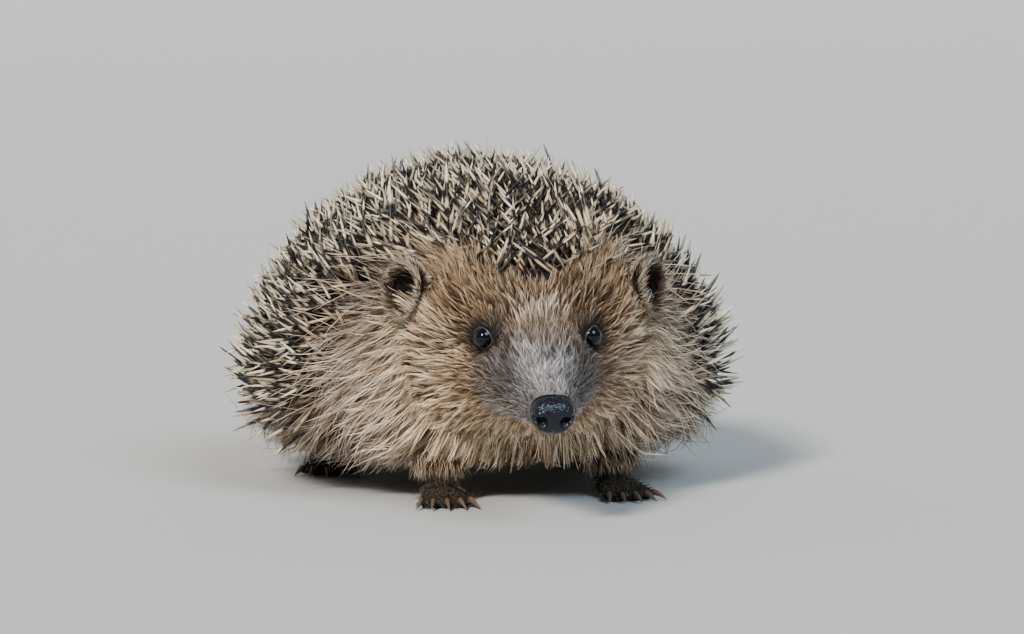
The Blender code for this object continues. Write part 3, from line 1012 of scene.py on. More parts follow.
def tube(path: Array, radii: Array, across: Array, flat: float, sides: int) -> Shell:
    """A closed tube: an ellipse of the given radius carried along a path.

    Args:
        path: Places along the middle, of shape (n, 3).
        radii: Half-width at each place.
        across: Rough sideways direction, made square to the path.
        flat: Height as a share of the width.
        sides: Corners of each ellipse.

    Returns:
        The tube.
    """
    ahead = unit(np.gradient(path, axis=0))
    side = flattened(across, ahead)
    rise = np.cross(side, ahead)
    angle = 2.0 * math.pi * np.arange(sides) / sides
    wide = side[:, None] * np.cos(angle)[:, None] * radii[:, None, None]
    tall = rise[:, None] * np.sin(angle)[:, None] * (radii * flat)[:, None, None]
    return closed_grid((path[:, None] + wide + tall)[:, ::-1])


@dataclass(frozen=True)
class FootPlan:
    """One foot: where its heel stands, how it splays, and its toes and claws."""

    side: Side
    heel: tuple[float, float]
    splay: float
    sole: float
    half_width: float
    ankle: float
    leg_radius: float
    leg_lean: float
    toes: int = 5
    toe_radius: float = 1.65 * MM
    toe_length: float = 6.0 * MM
    claw_length: float = 5.0 * MM

    @cached_property
    def axes(self) -> tuple[Array, Array, Array]:
        """Heel, way ahead and way outwards, on the floor."""
        angle, sign = math.radians(self.splay), self.side.value
        ahead = np.array([sign * math.sin(angle), -math.cos(angle), 0.0])
        outward = np.array([sign * math.cos(angle), math.sin(angle), 0.0])
        return np.array([sign * self.heel[0], self.heel[1], 0.0]), ahead, outward

    def toe(self, number: int) -> tuple[Array, Array, float]:
        """Root, direction and length of one toe; outer toes are shorter and splay."""
        heel, ahead, outward = self.axes
        spread = (number - (self.toes - 1) / 2) / ((self.toes - 1) / 2)
        way = unit(ahead + outward * (0.42 * spread))
        root = heel + ahead * (self.sole - 1.8 * MM)
        root = root + outward * (spread * (self.half_width - self.toe_radius * 0.8))
        return root, way, self.toe_length * (1 - 0.3 * spread * spread)

    def off_leg(self, points: Array) -> Array:
        """How far points lie outside the cylinder round the leg and the box round the foot."""
        heel, ahead, outward = self.axes
        ankle = heel + ahead * (self.ankle * self.sole)
        back = ahead * (self.leg_lean / (24.0 * MM))
        beside = (points - ankle + back * points[:, 2:])[:, :2]
        shank = np.linalg.norm(beside, axis=1) - self.leg_radius
        along, aside = (points - heel) @ ahead, (points - heel) @ outward
        reach = self.sole + self.toe_length
        foot = np.maximum(np.abs(along - reach / 2) - reach / 2, np.abs(aside) - self.half_width)
        return np.minimum(shank, np.maximum(foot, points[:, 2] - 9.0 * MM))

    def flesh(self) -> list[Shell]:
        """Sole, leg and toes as overlapping closed tubes."""
        heel, ahead, outward = self.axes
        shares = np.array([-0.02, 0.06, 0.2, 0.4, 0.6, 0.8, 0.95, 1.02])
        widths = np.array([0.4, 0.68, 0.82, 0.84, 0.88, 0.94, 0.9, 0.6]) * self.half_width
        path = heel + ahead * (shares * self.sole)[:, None] + UP * 2.5 * MM
        parts = [tube(path, widths, outward, 0.5, 24)]
        foot = heel + ahead * (self.ankle * self.sole) + UP * 2.6 * MM
        top = foot - ahead * self.leg_lean + UP * 24 * MM
        steps = np.linspace(0, 1, 7)[:, None]
        radii = self.leg_radius * np.array([0.66, 0.74, 0.8, 0.82, 0.84, 0.84, 0.8])
        parts.append(tube(foot + (top - foot) * steps, radii, outward, 1.0, 24))
        shares = np.array([-0.3, 0.0, 0.3, 0.55, 0.75, 0.95, 1.08])
        radii = self.toe_radius * np.array([0.7, 0.95, 0.88, 1.0, 0.98, 0.86, 0.45])
        for number in range(self.toes):
            root, way, reach = self.toe(number)
            path = root + way * (shares * reach)[:, None] + UP * self.toe_radius * 0.98
            parts.append(tube(path, radii, outward, 1.0, 16))
        return parts

    def claws(self) -> list[Shell]:
        """Each claw as a tapering tube that drops by share ^ 1.8 of its length."""
        parts = []
        share = np.linspace(0.0, 1.0, 8)
        drop = UP * (self.toe_radius * 0.95 * share**1.8)[:, None]
        radii = self.toe_radius * 0.42 * (1.0 - share) ** 0.7 + 0.06 * MM
        for number in range(self.toes):
            root, way, reach = self.toe(number)
            base = root + way * (reach * 0.98) + UP * self.toe_radius * 1.25
            path = base + way * (share * self.claw_length)[:, None] - drop
            parts.append(tube(path, radii, ASIDE, 1.25, 12))
        return parts


def all_feet() -> list[tuple[str, FootPlan]]:
    """The four feet by name."""
    feet = []
    for side in Side:
        fore = FootPlan(
            side, heel=(23.0 * MM, -22.3 * MM), splay=8.0, sole=13.0 * MM,
            half_width=6.0 * MM, ankle=0.3, leg_radius=5.4 * MM, leg_lean=8.0 * MM,
        )
        hind = FootPlan(
            side, heel=(31.0 * MM, 60.7 * MM), splay=16.0, sole=27.0 * MM,
            half_width=6.6 * MM, ankle=0.25, leg_radius=6.4 * MM, leg_lean=0.0,
        )
        feet += [(f"forefoot_{side.word}", fore), (f"hindfoot_{side.word}", hind)]
    return feet


@dataclass(frozen=True)
class EarPlan:
    """One ear: a shallow cup on the side of the head, open forwards and outwards."""

    side: Side
    behind: float = 51.5 * MM
    aside: float = 32.0 * MM
    above: float = 8.2 * MM
    width: float = 10.0 * MM
    height: float = 12.4 * MM
    depth: float = 5.2 * MM
    wall: float = 1.5 * MM

    @cached_property
    def centre(self) -> Array:
        """Middle of the rim."""
        return PLAN.on_head(self.behind, self.side.value * self.aside, self.above)[0]

    @cached_property
    def axes(self) -> tuple[Array, Array, Array]:
        """Way that the cup faces, its width and its height."""
        facing = PLAN.outwards(self.side)
        across = unit(np.cross(facing, PLAN.head_axes[2]))
        return facing, across, np.cross(across, facing)

    def rim_point(self, reach: Array, angle: Array, sink: Array) -> Array:
        """Places on the cup at a share of its radius, depth * (reach^2 - 1) - sink deep."""
        facing, across, upright = self.axes
        wide = across * (np.cos(angle) * reach * self.width / 2)[..., None]
        tall = upright * (np.sin(angle) * reach * self.height / 2)[..., None]
        deep = facing * (self.depth * (reach**2 - 1) - sink)[..., None]
        return self.centre + wide + tall + deep

    def cup_place(self, points: Array) -> tuple[Array, Array]:
        """How far points lie before the rim, and how far from the cup's middle line."""
        away = points - self.centre
        level = away @ self.axes[0]
        return level, np.linalg.norm(away - level[..., None] * self.axes[0], axis=-1)

    def flesh(self) -> Shell:
        """The cup's inner side, its rim and the funnel behind it as one closed surface."""
        inner = np.linspace(0.1, 1.0, 8)
        reach = np.concatenate([inner, (1.03, 1.02, 0.94, 0.82, 0.74, 0.7)])
        sink = np.concatenate([0.0 * inner, np.array((0.5, 1.2, 2.0, 4.0, 7.0, 11.0)) * MM])
        angle = 2.0 * math.pi * np.arange(36) / 36
        return closed_grid(self.rim_point(reach[:, None], angle[None], sink[:, None]))


@dataclass
class Hide:
    """The one skin over head, neck, trunk, ears, legs, feet and tail."""

    voxel: float = 0.9 * MM
    smoothing: int = 5
    # Painted shade: dark skin in the shadow between the spines and inside the ears' hollows.
    painted_shade_under_spines: Shade = (60, 48, 40)
    painted_shade_in_ears: Shade = (38, 30, 27)
    nodes: tuple[str, ...] = (
        "head", "lower_jaw", "neck", "trunk", "tail",
        "ear_left", "ear_right",
        "foreleg_left", "foreleg_right", "hindleg_left", "hindleg_right",
        "forefoot_left", "forefoot_right", "hindfoot_left", "hindfoot_right",
    )

    def build(self) -> bpy.types.Object:
        """Joins the closed forms, melts them into one surface, marks it and returns it."""
        mesh = self._melted(join(self._forms()))
        points = Sculpting().shaped(self._smoothed(mesh))
        points[:, 2] = np.maximum(points[:, 2], 0.05 * MM)
        mesh.vertices.foreach_set("co", points.astype(np.float32).ravel())
        mesh.update()
        mesh.shade_smooth()
        set_mark(mesh, "marking", self._marking(points))
        skin = bpy.data.objects.new("skin", mesh)
        bpy.context.scene.collection.objects.link(skin)
        return finish_piece(skin, "spine_coat", SkinFinish().material(), *self.nodes)

    @staticmethod
    def _forms() -> list[Shell]:
        """Body, ears, limbs and tail as closed forms that run into each other."""
        steps = np.linspace(0.0, PLAN.last, 190)
        turns = np.arange(144) / 144
        station, around = (part.ravel() for part in np.meshgrid(steps, turns, indexing="ij"))
        trunk = PLAN.bare(station, around).reshape(len(steps), len(turns), 3)
        snout = trunk[:1] + PLAN.head_axes[0] * (1.6 * MM)
        forms = [closed_grid(np.concatenate([snout, trunk]))]
        forms += [EarPlan(side).flesh() for side in Side]
        for _, foot in all_feet():
            forms += foot.flesh()
        share = np.linspace(0.0, 1.0, 9)
        root, tip = np.array([0.0, 76.0, 16.0]) * MM, np.array([0.0, 92.6, 9.6]) * MM
        path = root + (tip - root) * share[:, None]
        forms.append(tube(path, (3.0 - 2.1 * share) * MM, ASIDE, 1.0, 20))
        return forms

    def _melted(self, shell: Shell) -> bpy.types.Mesh:
        """One closed surface round all forms of a shell, from small even cells."""
        rough = as_object("rough_skin", shell)
        melt = rough.modifiers.new("melt", "REMESH")
        melt.mode = "VOXEL"
        melt.voxel_size = self.voxel
        graph = bpy.context.evaluated_depsgraph_get()
        mesh = bpy.data.meshes.new_from_object(rough.evaluated_get(graph))
        bpy.data.objects.remove(rough)
        mesh.name = "skin"
        return mesh

    def _smoothed(self, mesh: bpy.types.Mesh) -> Array:
        """Moves each vertex halfway to the mean of its neighbours, a few times."""
        points = np.empty(len(mesh.vertices) * 3)
        mesh.vertices.foreach_get("co", points)
        points = points.reshape(-1, 3)
        edges = np.empty(len(mesh.edges) * 2, dtype=np.int64)
        mesh.edges.foreach_get("vertices", edges)
        first, second = edges.reshape(-1, 2).T
        count = np.bincount(edges, minlength=len(points))[:, None]
        for _ in range(self.smoothing):
            total = np.stack([
                np.bincount(first, points[second, i], len(points))
                + np.bincount(second, points[first, i], len(points))
                for i in range(3)
            ], axis=-1)
            points = points * 0.5 + total / count * 0.5
        return points

    def _marking(self, points: Array) -> Array:
        """The markings, with painted shade as dark skin under the spines and in the ears' hollows,
        and darker skin round the eyes.
        """
        colour = Markings().at(points)
        # Painted shade: skin among the spines is darkened as if in their shadow.
        spined = ramp(brow_line(points) + 6.0, 0.0, 5.0)
        colour = blend(colour, tone(*self.painted_shade_under_spines), spined)
        for side in Side:
            near = np.linalg.norm(points - EyePlan(side).centre, axis=1)
            colour = colour * (0.4 + 0.6 * ramp(near, 4.2 * MM, 6.5 * MM))[:, None]
            # Painted shade: the ear's hollow is coloured near-black.
            level, beside = EarPlan(side).cup_place(points)
            cup = (1 - ramp(beside, 4.4 * MM, 5.6 * MM)) * (np.abs(level) < 7.0 * MM)
            colour = blend(colour, tone(*self.painted_shade_in_ears), cup)
        return colour


# -------- the coat


class Profile(Enum):
    """Thickness along a hair or a spine as pairs of place and share; the tip is a point."""

    SHORT = ((0.0, 0.9), (0.5, 0.9))
    HAIR = ((0.0, 0.8), (0.3, 1.0), (0.58, 0.9), (0.83, 0.6))
    SPINE = ((0.0, 0.4), (0.14, 0.9), (0.62, 1.0), (0.82, 0.76), (0.93, 0.42))
    WHISKER = tuple((0.125 * step, 1.0 - 0.09 * step) for step in range(8))


@dataclass(frozen=True)
class Lay:
    """How one kind of hair or spine grows and lies.

    Attributes:
        count: Number of tufts.
        per_tuft: Hairs in each tuft.
        length: Shortest and longest hair, as shares of the place's own length.
        lean: Degrees from the skin's normal at root and tip, where hair isn't combed.
        width_mm: Thickness of hair 10 mm long; other hair's goes with the root of its length.
        spread_mm: How far a tuft's roots lie apart, changing in the same way.
        gather: How far a tuft's tips draw together, from 0 to 1.
        stray: Degrees that tufts turn aside, as a standard deviation.
        bend: Share of the length that tips bend aside, as a standard deviation.
        sunk_mm: How far roots start under the skin.
        sides: Corners of a hair's section.
        profile: How thickness changes along the hair.
    """

    count: int
    per_tuft: int = 1
    length: tuple[float, float] = (0.85, 1.15)
    lean: tuple[float, float] = (48.0, 76.0)
    width_mm: float = 0.145
    spread_mm: float = 0.4
    gather: float = 0.68
    stray: float = 11.0
    bend: float = 0.02
    sunk_mm: float = 0.5
    sides: int = 3
    profile: Profile = Profile.HAIR


@dataclass
class Roots:
    """Where tufts grow.

    Attributes:
        place: Places on the skin.
        normal: Outward directions there.
        flow: Directions along the skin that the hair lies in.
        patch: Places on the bake's map.
        reach: Depth of the coat there.
        length: Length of the hair there.
        spot: Station and round, for tufts that are combed along the body.
    """

    place: Array
    normal: Array
    flow: Array
    patch: Array
    reach: Array
    length: Array
    spot: Array | None = None

    @property
    def scale(self) -> Array:
        """How much thicker than hair 10 mm long the hair is: the root of its length."""
        return np.sqrt(self.length / (10.0 * MM))

    def on(self, side: Side) -> "Roots":
        """Only the roots on one side of the animal."""
        return self.kept(self.place[:, 0] * side.value >= 0)

    def kept(self, mask: Array) -> "Roots":
        """Only the roots where mask is true."""
        parts = (self.place, self.normal, self.flow, self.patch, self.reach, self.length)
        spot = None if self.spot is None else self.spot[mask]
        return Roots(*(part[mask] for part in parts), spot)


def scatter(count: int, start: float, end: float, weight: Weight, seed: int) -> tuple[Array, Array]:
    """Spreads places evenly over a length of the body.

    A golden-ratio lattice is pushed through the running sum of the skin's area, first
    along the body and then round it, and each place is moved a little at random.

    Args:
        count: How many places.
        start: First station.
        end: Last station.
        weight: Density from station, round and place on the coat's tips.
        seed: Number that the random moves follow from.

    Returns:
        Station and round of each place.
    """
    rows, columns = 200, 240
    edges = np.linspace(start, end, rows + 1)
    turns = np.linspace(0.0, 1.0, columns + 1)
    station, around = np.meshgrid(edges, turns, indexing="ij")
    grid = PLAN.bare(station.ravel(), around.ravel()).reshape(rows + 1, columns + 1, 3)
    along = grid[1:, :-1] - grid[:-1, :-1]
    across = grid[:-1, 1:] - grid[:-1, :-1]
    area = np.linalg.norm(np.cross(along, across), axis=-1)
    middle = (0.5 * (edges[1:] + edges[:-1]))[:, None] + np.zeros(columns)
    middle_turn = 0.5 * (turns[1:] + turns[:-1])[None] + np.zeros((rows, 1))
    tips = PLAN.tips(middle.ravel(), middle_turn.ravel())
    density = weight(middle.ravel(), middle_turn.ravel(), tips).reshape(rows, columns)
    area = area * density + 1e-16
    total = area.sum(axis=1)
    running = np.concatenate([[0.0], np.cumsum(total)]) / total.sum()
    rng = np.random.default_rng(seed)
    step = rng.uniform(-0.4, 0.4, (2, count))
    share = np.clip((np.arange(count) + 0.5 + step[0]) / count, 0.0, 1.0 - 1e-9)
    out_station = np.interp(share, running, edges)
    row = np.clip(np.searchsorted(running, share, side="right") - 1, 0, rows - 1)
    inner = np.concatenate([np.zeros((rows, 1)), np.cumsum(area, axis=1)], axis=1)
    inner = inner / inner[:, -1:] + np.arange(rows)[:, None]
    turn = (np.arange(count) * GOLDEN + step[1] / math.sqrt(count)) % 1.0
    out_turn = np.interp(row + turn * 0.999999, inner.ravel(), np.tile(turns, rows))
    return out_station, out_turn


def ranked(values: Array) -> Array:
    """Each value's rank as a share of how many there are."""
    return np.argsort(np.argsort(values)) / len(values)


def unrolled(station: Array, around: Array) -> Array:
    """Places on the bake's map, which unrolls the body from 0 to 1 across and up.

    Round goes across and the station goes up, both turned into ranks so that the roots
    fill the map evenly.
    """
    strips = 40
    height = ranked(station)
    strip = np.floor(height * strips).astype(int)
    order = np.lexsort((around, strip))
    size = np.bincount(strip, minlength=strips + 1)
    first = np.concatenate([[0], np.cumsum(size)])
    rank = np.empty(len(station))
    rank[order] = np.arange(len(station)) - first[strip[order]]
    return np.stack([rank / size[strip], height], axis=-1) * (1 - TUFT_PATCH)


def body_roots(count: int, start: float, end: float, weight: Weight, seed: int) -> Roots:
    """Roots on the body, with the coat's depth over them and hair that also hangs a little.

    Hair of the ruff hangs least on the animal's left, where it stands out.

    Args:
        count, start, end, weight, seed: As for scatter.

    Returns:
        The roots, which know their spot.
    """
    station, around = scatter(count, start, end, weight, seed)
    place, normal, back = PLAN.frame_at(station, around)
    reach = dot(PLAN.tips(station, around) - place, normal)
    length = np.interp(station, PLAN.stations, PLAN.hair_mm) * MM
    down = normal * normal[:, 2:] - UP
    fall = np.interp(station, PLAN.stations, PLAN.fall)
    raised = ramp(place[:, 0], 8.0 * MM, 26.0 * MM) * (1.0 - ramp(place[:, 1], -25 * MM, 5 * MM))
    flow = unit(back + down * (fall * (1.0 - 0.9 * raised))[:, None])
    spot = np.stack([station, around], axis=-1)
    patch = unrolled(station, around)
    return Roots(place, normal, flow, patch, np.maximum(reach, 0.3 * MM), length, spot)


def combed(roots: Roots, flow: Array, length: Array, top: Array, steps: Array) -> Array:
    """Paths that go along the body and rise through its coat.

    Each step keeps its angle to the line from nose to rump: the change of station and
    round that makes it is solved from how the skin's place changes with both. The
    height over the skin is top * step ^ 0.7 of the coat's depth at the new place. Where
    the skin's place jumps by over 0.6 of a step, the path goes straight on.

    Args:
        roots: Roots that know their spot.
        flow: Directions at the roots.
        length: Length of each path.
        top: Share of the coat's depth that each tip reaches.
        steps: Shares of the length.

    Returns:
        Points by path and step.
    """
    station, around = roots.spot[:, 0], roots.spot[:, 1]
    here, normal, back = PLAN.frame_at(station, around)
    ahead, beside = dot(flow, back), dot(flow, np.cross(normal, back))
    path = [here]
    for share, pace in zip(steps[1:], np.diff(steps)):
        way = unit(back * ahead[:, None] + np.cross(normal, back) * beside[:, None])
        low = np.maximum(station - NEAR_STATION, 0.0)
        high = np.minimum(station + NEAR_STATION, PLAN.last)
        by_station = PLAN.skin(high, around) - PLAN.skin(low, around)
        by_station = by_station / (high - low)[:, None]
        by_round = PLAN.step_round(station, around) / (2.0 * NEAR_ROUND)
        first, second = dot(by_station, by_station), dot(by_round, by_round)
        cross = dot(by_station, by_round)
        along, across = dot(by_station, way), dot(by_round, way)
        pace_here = pace * length / np.maximum(first * second - cross**2, TINY)
        wanted = here + way * (pace * length)[:, None]
        station = station + np.clip((along * second - across * cross) * pace_here, -2.5, 2.5)
        around = around + np.clip((across * first - along * cross) * pace_here, -0.2, 0.2)
        station = np.clip(station, 0.02, PLAN.last - 0.05)
        found, normal, back = PLAN.frame_at(station, around)
        off = np.linalg.norm(found - wanted, axis=1) > 0.6 * pace * length
        here = np.where(off[:, None], wanted, found)
        depth = np.maximum(dot(PLAN.tips(station, around) - here, normal), 0.3 * MM)
        path.append(here + normal * (depth * top * share**0.7)[:, None])
    return np.stack(path, axis=1)


def straight(roots: Roots, flow: Array, length: Array, top: Array, lean: Array,
             steps: Array) -> Array:
    """Paths that turn from the first lean to the second, and lie flatter in thin coat.

    Args:
        roots, flow, length, steps: As for combed.
        top: Height that each tip reaches at most.
        lean: Angles from the normal by path and step.

    Returns:
        Points by path and step.
    """
    lift = np.cos(lean[:, :-1]).mean(axis=1) * length
    squash = np.clip(top / np.maximum(lift, 1e-6), 0.05, 1.0)
    rise = np.cos(lean) * squash[:, None]
    run = np.sqrt(np.maximum(1.0 - rise**2, 0.0))
    pace = (length[:, None] * np.diff(steps)[None])[..., None]
    move = roots.normal[:, None] * rise[..., None] + flow[:, None] * run[..., None]
    gone = np.cumsum(0.5 * (move[:, 1:] + move[:, :-1]) * pace, axis=1)
    return roots.place[:, None] + np.concatenate([0.0 * gone[:, :1], gone], axis=1)


@dataclass
class Tufts:
    """The paths of tufts by step, and what their hairs take from them.

    Steps are shares of the length, tall is each tuft's own draw from 0 to 1, and owner is
    the number of each hair's tuft.
    """

    path: Array
    steps: Array
    flow: Array
    length: Array
    tall: Array
    owner: Array


def lay_tufts(roots: Roots, lay: Lay, height: tuple[float, float],
              rng: np.random.Generator) -> Tufts:
    """Draws each tuft's turn, length and height, and finds its path.

    One tuft in twenty stands out of the coat by a fifth more.

    Args:
        roots, lay, height: As for grow.
        rng: Random draws.

    Returns:
        The tufts.
    """
    count = len(roots.place)
    aside = np.cross(roots.normal, roots.flow)
    turn = np.radians(np.clip(rng.normal(0.0, lay.stray, count), -2 * lay.stray, 2 * lay.stray))
    flow = roots.flow * np.cos(turn)[:, None] + aside * np.sin(turn)[:, None]
    length = rng.uniform(*lay.length, count) * roots.length
    steps = np.array([place for place, _ in lay.profile.value] + [1.0])
    tall = rng.uniform(0.0, 1.0, count)
    proud = np.where(rng.uniform(size=count) < 0.05, 1.2, 1.0)
    top = (height[0] + (height[1] - height[0]) * tall) * proud
    if roots.spot is None:
        lean = np.radians(lay.lean[0] + (lay.lean[1] - lay.lean[0]) * steps)[None]
        lean = lean + np.radians(rng.normal(0.0, lay.stray * 0.4, count))[:, None]
        path = straight(roots, flow, length, roots.reach * top, lean, steps)
    else:
        path = combed(roots, flow, length, top, steps)
    path[..., 2] = np.maximum(path[..., 2], 0.4 * MM)
    return Tufts(path, steps, flow, length, tall, np.repeat(np.arange(count), lay.per_tuft))


def hair_lines(roots: Roots, lay: Lay, tufts: Tufts, rng: np.random.Generator) -> Array:
    """Middle lines of hairs, beside the path of their tuft.

    Hairs start apart and draw together by gather * step ^ 0.8, and a small bend grows
    with step ^ 2.

    Args:
        roots, lay: As for grow.
        tufts: The tufts' paths.
        rng: Random draws.

    Returns:
        Points by hair and step.
    """
    hair, steps, single = tufts.owner, tufts.steps, lay.per_tuft == 1
    total = len(hair)
    apart = rng.normal(0.0, lay.spread_mm * MM, (total, 2)) * (not single)
    apart = apart * roots.scale[hair][:, None]
    across = np.cross(roots.normal, tufts.flow)[hair]
    offset = tufts.flow[hair] * apart[:, :1] + across * apart[:, 1:]
    draw = 1.0 - lay.gather * steps**0.8
    short = 1.0 if single else rng.uniform(0.82, 1.0, total)[:, None, None]
    start, normal = roots.place[hair][:, None], roots.normal[hair]
    line = start + (tufts.path[hair] - start) * short
    line = line + offset[:, None] * draw[None, :, None]
    line[:, 0] -= normal * (lay.sunk_mm * MM)
    bend = rng.normal(0.0, lay.bend, (total, 2)) * tufts.length[hair][:, None]
    bow = (steps * steps)[None, :, None]
    line = line + (across * bend[:, :1] + normal * bend[:, 1:] * 0.4)[:, None] * bow
    line[..., 2] = np.maximum(line[..., 2], 0.3 * MM)
    return line


def hair_sections(line: Array, normal: Array, thick: Array, lay: Lay) -> Array:
    """Vertices of hairs: rings of the profile's size along each middle line, then its tip.

    Args:
        line: Points by hair and step.
        normal: The skin's normal at each hair's root.
        thick: Greatest radius of each hair.
        lay: As for grow.

    Returns:
        Vertices by hair.
    """
    profile = np.array(lay.profile.value)
    tangent = unit(np.gradient(line, axis=1))
    first = unit(np.cross(tangent, normal[:, None] + 1e-4))
    second = np.cross(tangent, first)
    angle = 2.0 * math.pi * np.arange(lay.sides) / lay.sides
    radius = thick[:, None] * profile[None, :, 1]
    body = line[:, :-1, None] + radius[:, :, None, None] * (
        first[:, :-1, None] * np.cos(angle)[None, None, :, None]
        + second[:, :-1, None] * np.sin(angle)[None, None, :, None]
    )
    return np.concatenate([body.reshape(len(line), -1, 3), line[:, -1:]], axis=1)


def hair_marks(roots: Roots, lay: Lay, tufts: Tufts, rng: np.random.Generator) -> dict[str, Array]:
    """Marks of every vertex: shaft from root to tip, a brightness draw with painted depth shade,
    both from 0 to 1, and marking.

    A hair's brightness draw is mostly its tuft's, with a little from the tuft's height as
    painted shade on deeper tufts, from the hair itself and, in long hair, from clumps about
    4.5 mm wide as painted shade in the gaps between locks.

    Args:
        roots, lay, tufts, rng: As for hair_lines.

    Returns:
        The marks by name.
    """
    hair = tufts.owner
    tint = Markings().at(roots.place + roots.flow * (tufts.length * 0.3)[:, None])[hair]
    # Painted shade: lower-lying tufts get darker hairs, and clumps darken the gaps between locks.
    chance_and_depth_shade = 0.2 * tufts.tall[hair] + 0.65 * rng.uniform(0, 1, len(roots.place))[hair]
    lock_gap_shade = wobble(roots.place, 4.5 * MM, 17) * ramp(roots.length, 9.0 * MM, 15.0 * MM)
    chance_and_depth_shade = chance_and_depth_shade + 0.15 * rng.uniform(0, 1, len(hair)) + 0.24 * lock_gap_shade[hair]
    chance_and_depth_shade = np.clip(1.7 * (chance_and_depth_shade - 0.5) + 0.46, 0.0, 1.0)
    shaft = np.concatenate([np.repeat(tufts.steps[:-1], lay.sides), [1.0]])
    return {
        "shaft": np.tile(shaft, len(hair)),
        "chance_and_depth_shade": np.repeat(chance_and_depth_shade, len(shaft)),
        "marking": np.repeat(tint, len(shaft), axis=0),
    }


def grow(roots: Roots, lay: Lay, seed: int, height: tuple[float, float] = (0.75, 1.0)) -> Shell:
    """Grows tufts of tapering hairs.

    A tuft's own draw sets both how high in the coat its tip ends and part of its
    brightness, so that deeper tufts are darker: painted shade deep in the coat.

    Args:
        roots: Where the tufts grow.
        lay: How they lie.
        seed: Number that every random draw follows from.
        height: Lowest and highest share of the coat's depth that tips reach.

    Returns:
        All hairs as one shell, with its map and its marks.
    """
    rng = np.random.default_rng(seed)
    tufts = lay_tufts(roots, lay, height, rng)
    line = hair_lines(roots, lay, tufts, rng)
    hair, number = tufts.owner, np.arange(len(line))[:, None]
    thick = lay.width_mm * MM / 2 * rng.uniform(0.8, 1.2, len(line)) * roots.scale[hair]
    points = hair_sections(line, roots.normal[hair], thick, lay)
    corners, starts, square = hair_faces(tufts.steps, lay.sides)
    all_corners = (corners[None] + number * points.shape[1]).ravel()
    all_starts = (starts[None] + number * len(corners)).ravel()
    patch = (roots.patch[hair][:, None] + square[None] * TUFT_PATCH).reshape(-1, 2)
    marks = hair_marks(roots, lay, tufts, rng)
    return Shell(points.reshape(-1, 3), all_corners, all_starts, patch, marks)


def hair_faces(steps: Array, sides: int) -> tuple[Array, Array, Array]:
    """Faces of one hair: a root cap, quads between sections and a pointed tip.

    Args:
        steps: Share of the length at each section and at the tip.
        sides: Corners of each section.

    Returns:
        Vertex numbers of the corners, face starts, and each corner's place in the
        hair's square on the map, across and along.
    """
    rings = len(steps) - 1
    here = np.arange(sides)
    after = (here + 1) % sides
    quads = wall(rings, sides)
    low = np.broadcast_to(steps[: rings - 1, None], (rings - 1, sides))
    high = np.broadcast_to(steps[1:rings, None], (rings - 1, sides))
    left = np.broadcast_to(here / sides, (rings - 1, sides))
    right = left + 1.0 / sides
    quad_map = np.stack([left, low, right, low, right, high, left, high], -1)
    tip = np.stack([here, after, np.full(sides, rings * sides)], -1)
    tip[:, :2] += (rings - 1) * sides
    flat = np.full(sides, steps[rings - 1])
    tip_map = np.stack([here / sides, flat, (here + 1) / sides, flat,
                        (here + 0.5) / sides, np.ones(sides)], -1)
    cap_map = np.stack([here[::-1] / sides, np.zeros(sides)], -1)
    corners = np.concatenate([quads.ravel(), tip.ravel(), here[::-1]])
    four = quads.size // 4
    starts = np.concatenate([np.arange(four) * 4, four * 4 + np.arange(sides) * 3,
                             [four * 4 + sides * 3]])
    places = np.concatenate([quad_map.reshape(-1, 2), tip_map.reshape(-1, 2), cap_map])
    return corners, starts, places


@dataclass(frozen=True)
class Parting:
    """How hair leaves eyes and ears free.

    Hair that heads for an eye loses that part of its way and turns a little outwards,
    and hair near an eye is shorter, both most within close of it. Hair whose path, tried
    at the steps, enters an ear's opening ends before it.
    """

    close: float = 4.0 * MM
    turned_to: float = 10.0 * MM
    short_to: float = 13.0 * MM
    turned: float = 1.35
    shorter: float = 0.68
    lid_gap: float = 0.2 * MM
    ear_radius: float = 4.7 * MM
    ear_reach: float = 12.0 * MM
    tip_height: float = 0.75
    steps: tuple[float, ...] = (0.0, 0.2, 0.4, 0.6, 0.8, 1.0)

    def of(self, roots: Roots) -> Roots:
        """Parts the hair round both eyes and both ears.

        Args:
            roots: Roots anywhere on the head.

        Returns:
            The roots that don't lie on an eye, its lids or inside an ear.
        """
        clear = np.ones(len(roots.place), dtype=bool)
        top = np.full(len(clear), self.tip_height)
        path = combed(roots, roots.flow, roots.length, top, np.array(self.steps))
        for side in Side:
            clear &= self._off_eye(roots, EyePlan(side))
            clear &= self._off_ear(roots, EarPlan(side), path)
        return roots.kept(clear)

    def _off_eye(self, roots: Roots, eye: EyePlan) -> Array:
        """Turns and shortens hair round an eye, and says which roots lie off it."""
        away = roots.place - eye.centre
        far = np.linalg.norm(away, axis=1)
        out = flattened(away, roots.normal)
        near = 1.0 - ramp(far, self.close, self.turned_to)
        towards = np.minimum(dot(roots.flow, out), 0.0) * near
        roots.flow = unit(roots.flow - out * (self.turned * towards)[:, None] + 1e-6)
        near = 1.0 - ramp(far, self.close, self.short_to)
        roots.length = roots.length * (1.0 - self.shorter * near)
        return far > eye.radius + self.lid_gap

    def _off_ear(self, roots: Roots, ear: EarPlan, path: Array) -> Array:
        """Ends hair before an ear's opening, and says which roots lie off it."""
        level, beside = ear.cup_place(path)
        inside = (beside < self.ear_radius) & (np.abs(level) < self.ear_reach)
        enters = np.argmax(inside, axis=1)
        cut = np.maximum(np.array(self.steps)[enters] - 0.12, 0.25)
        roots.length = roots.length * np.where(enters > 0, cut, 1.0)
        return ~inside[:, 0]


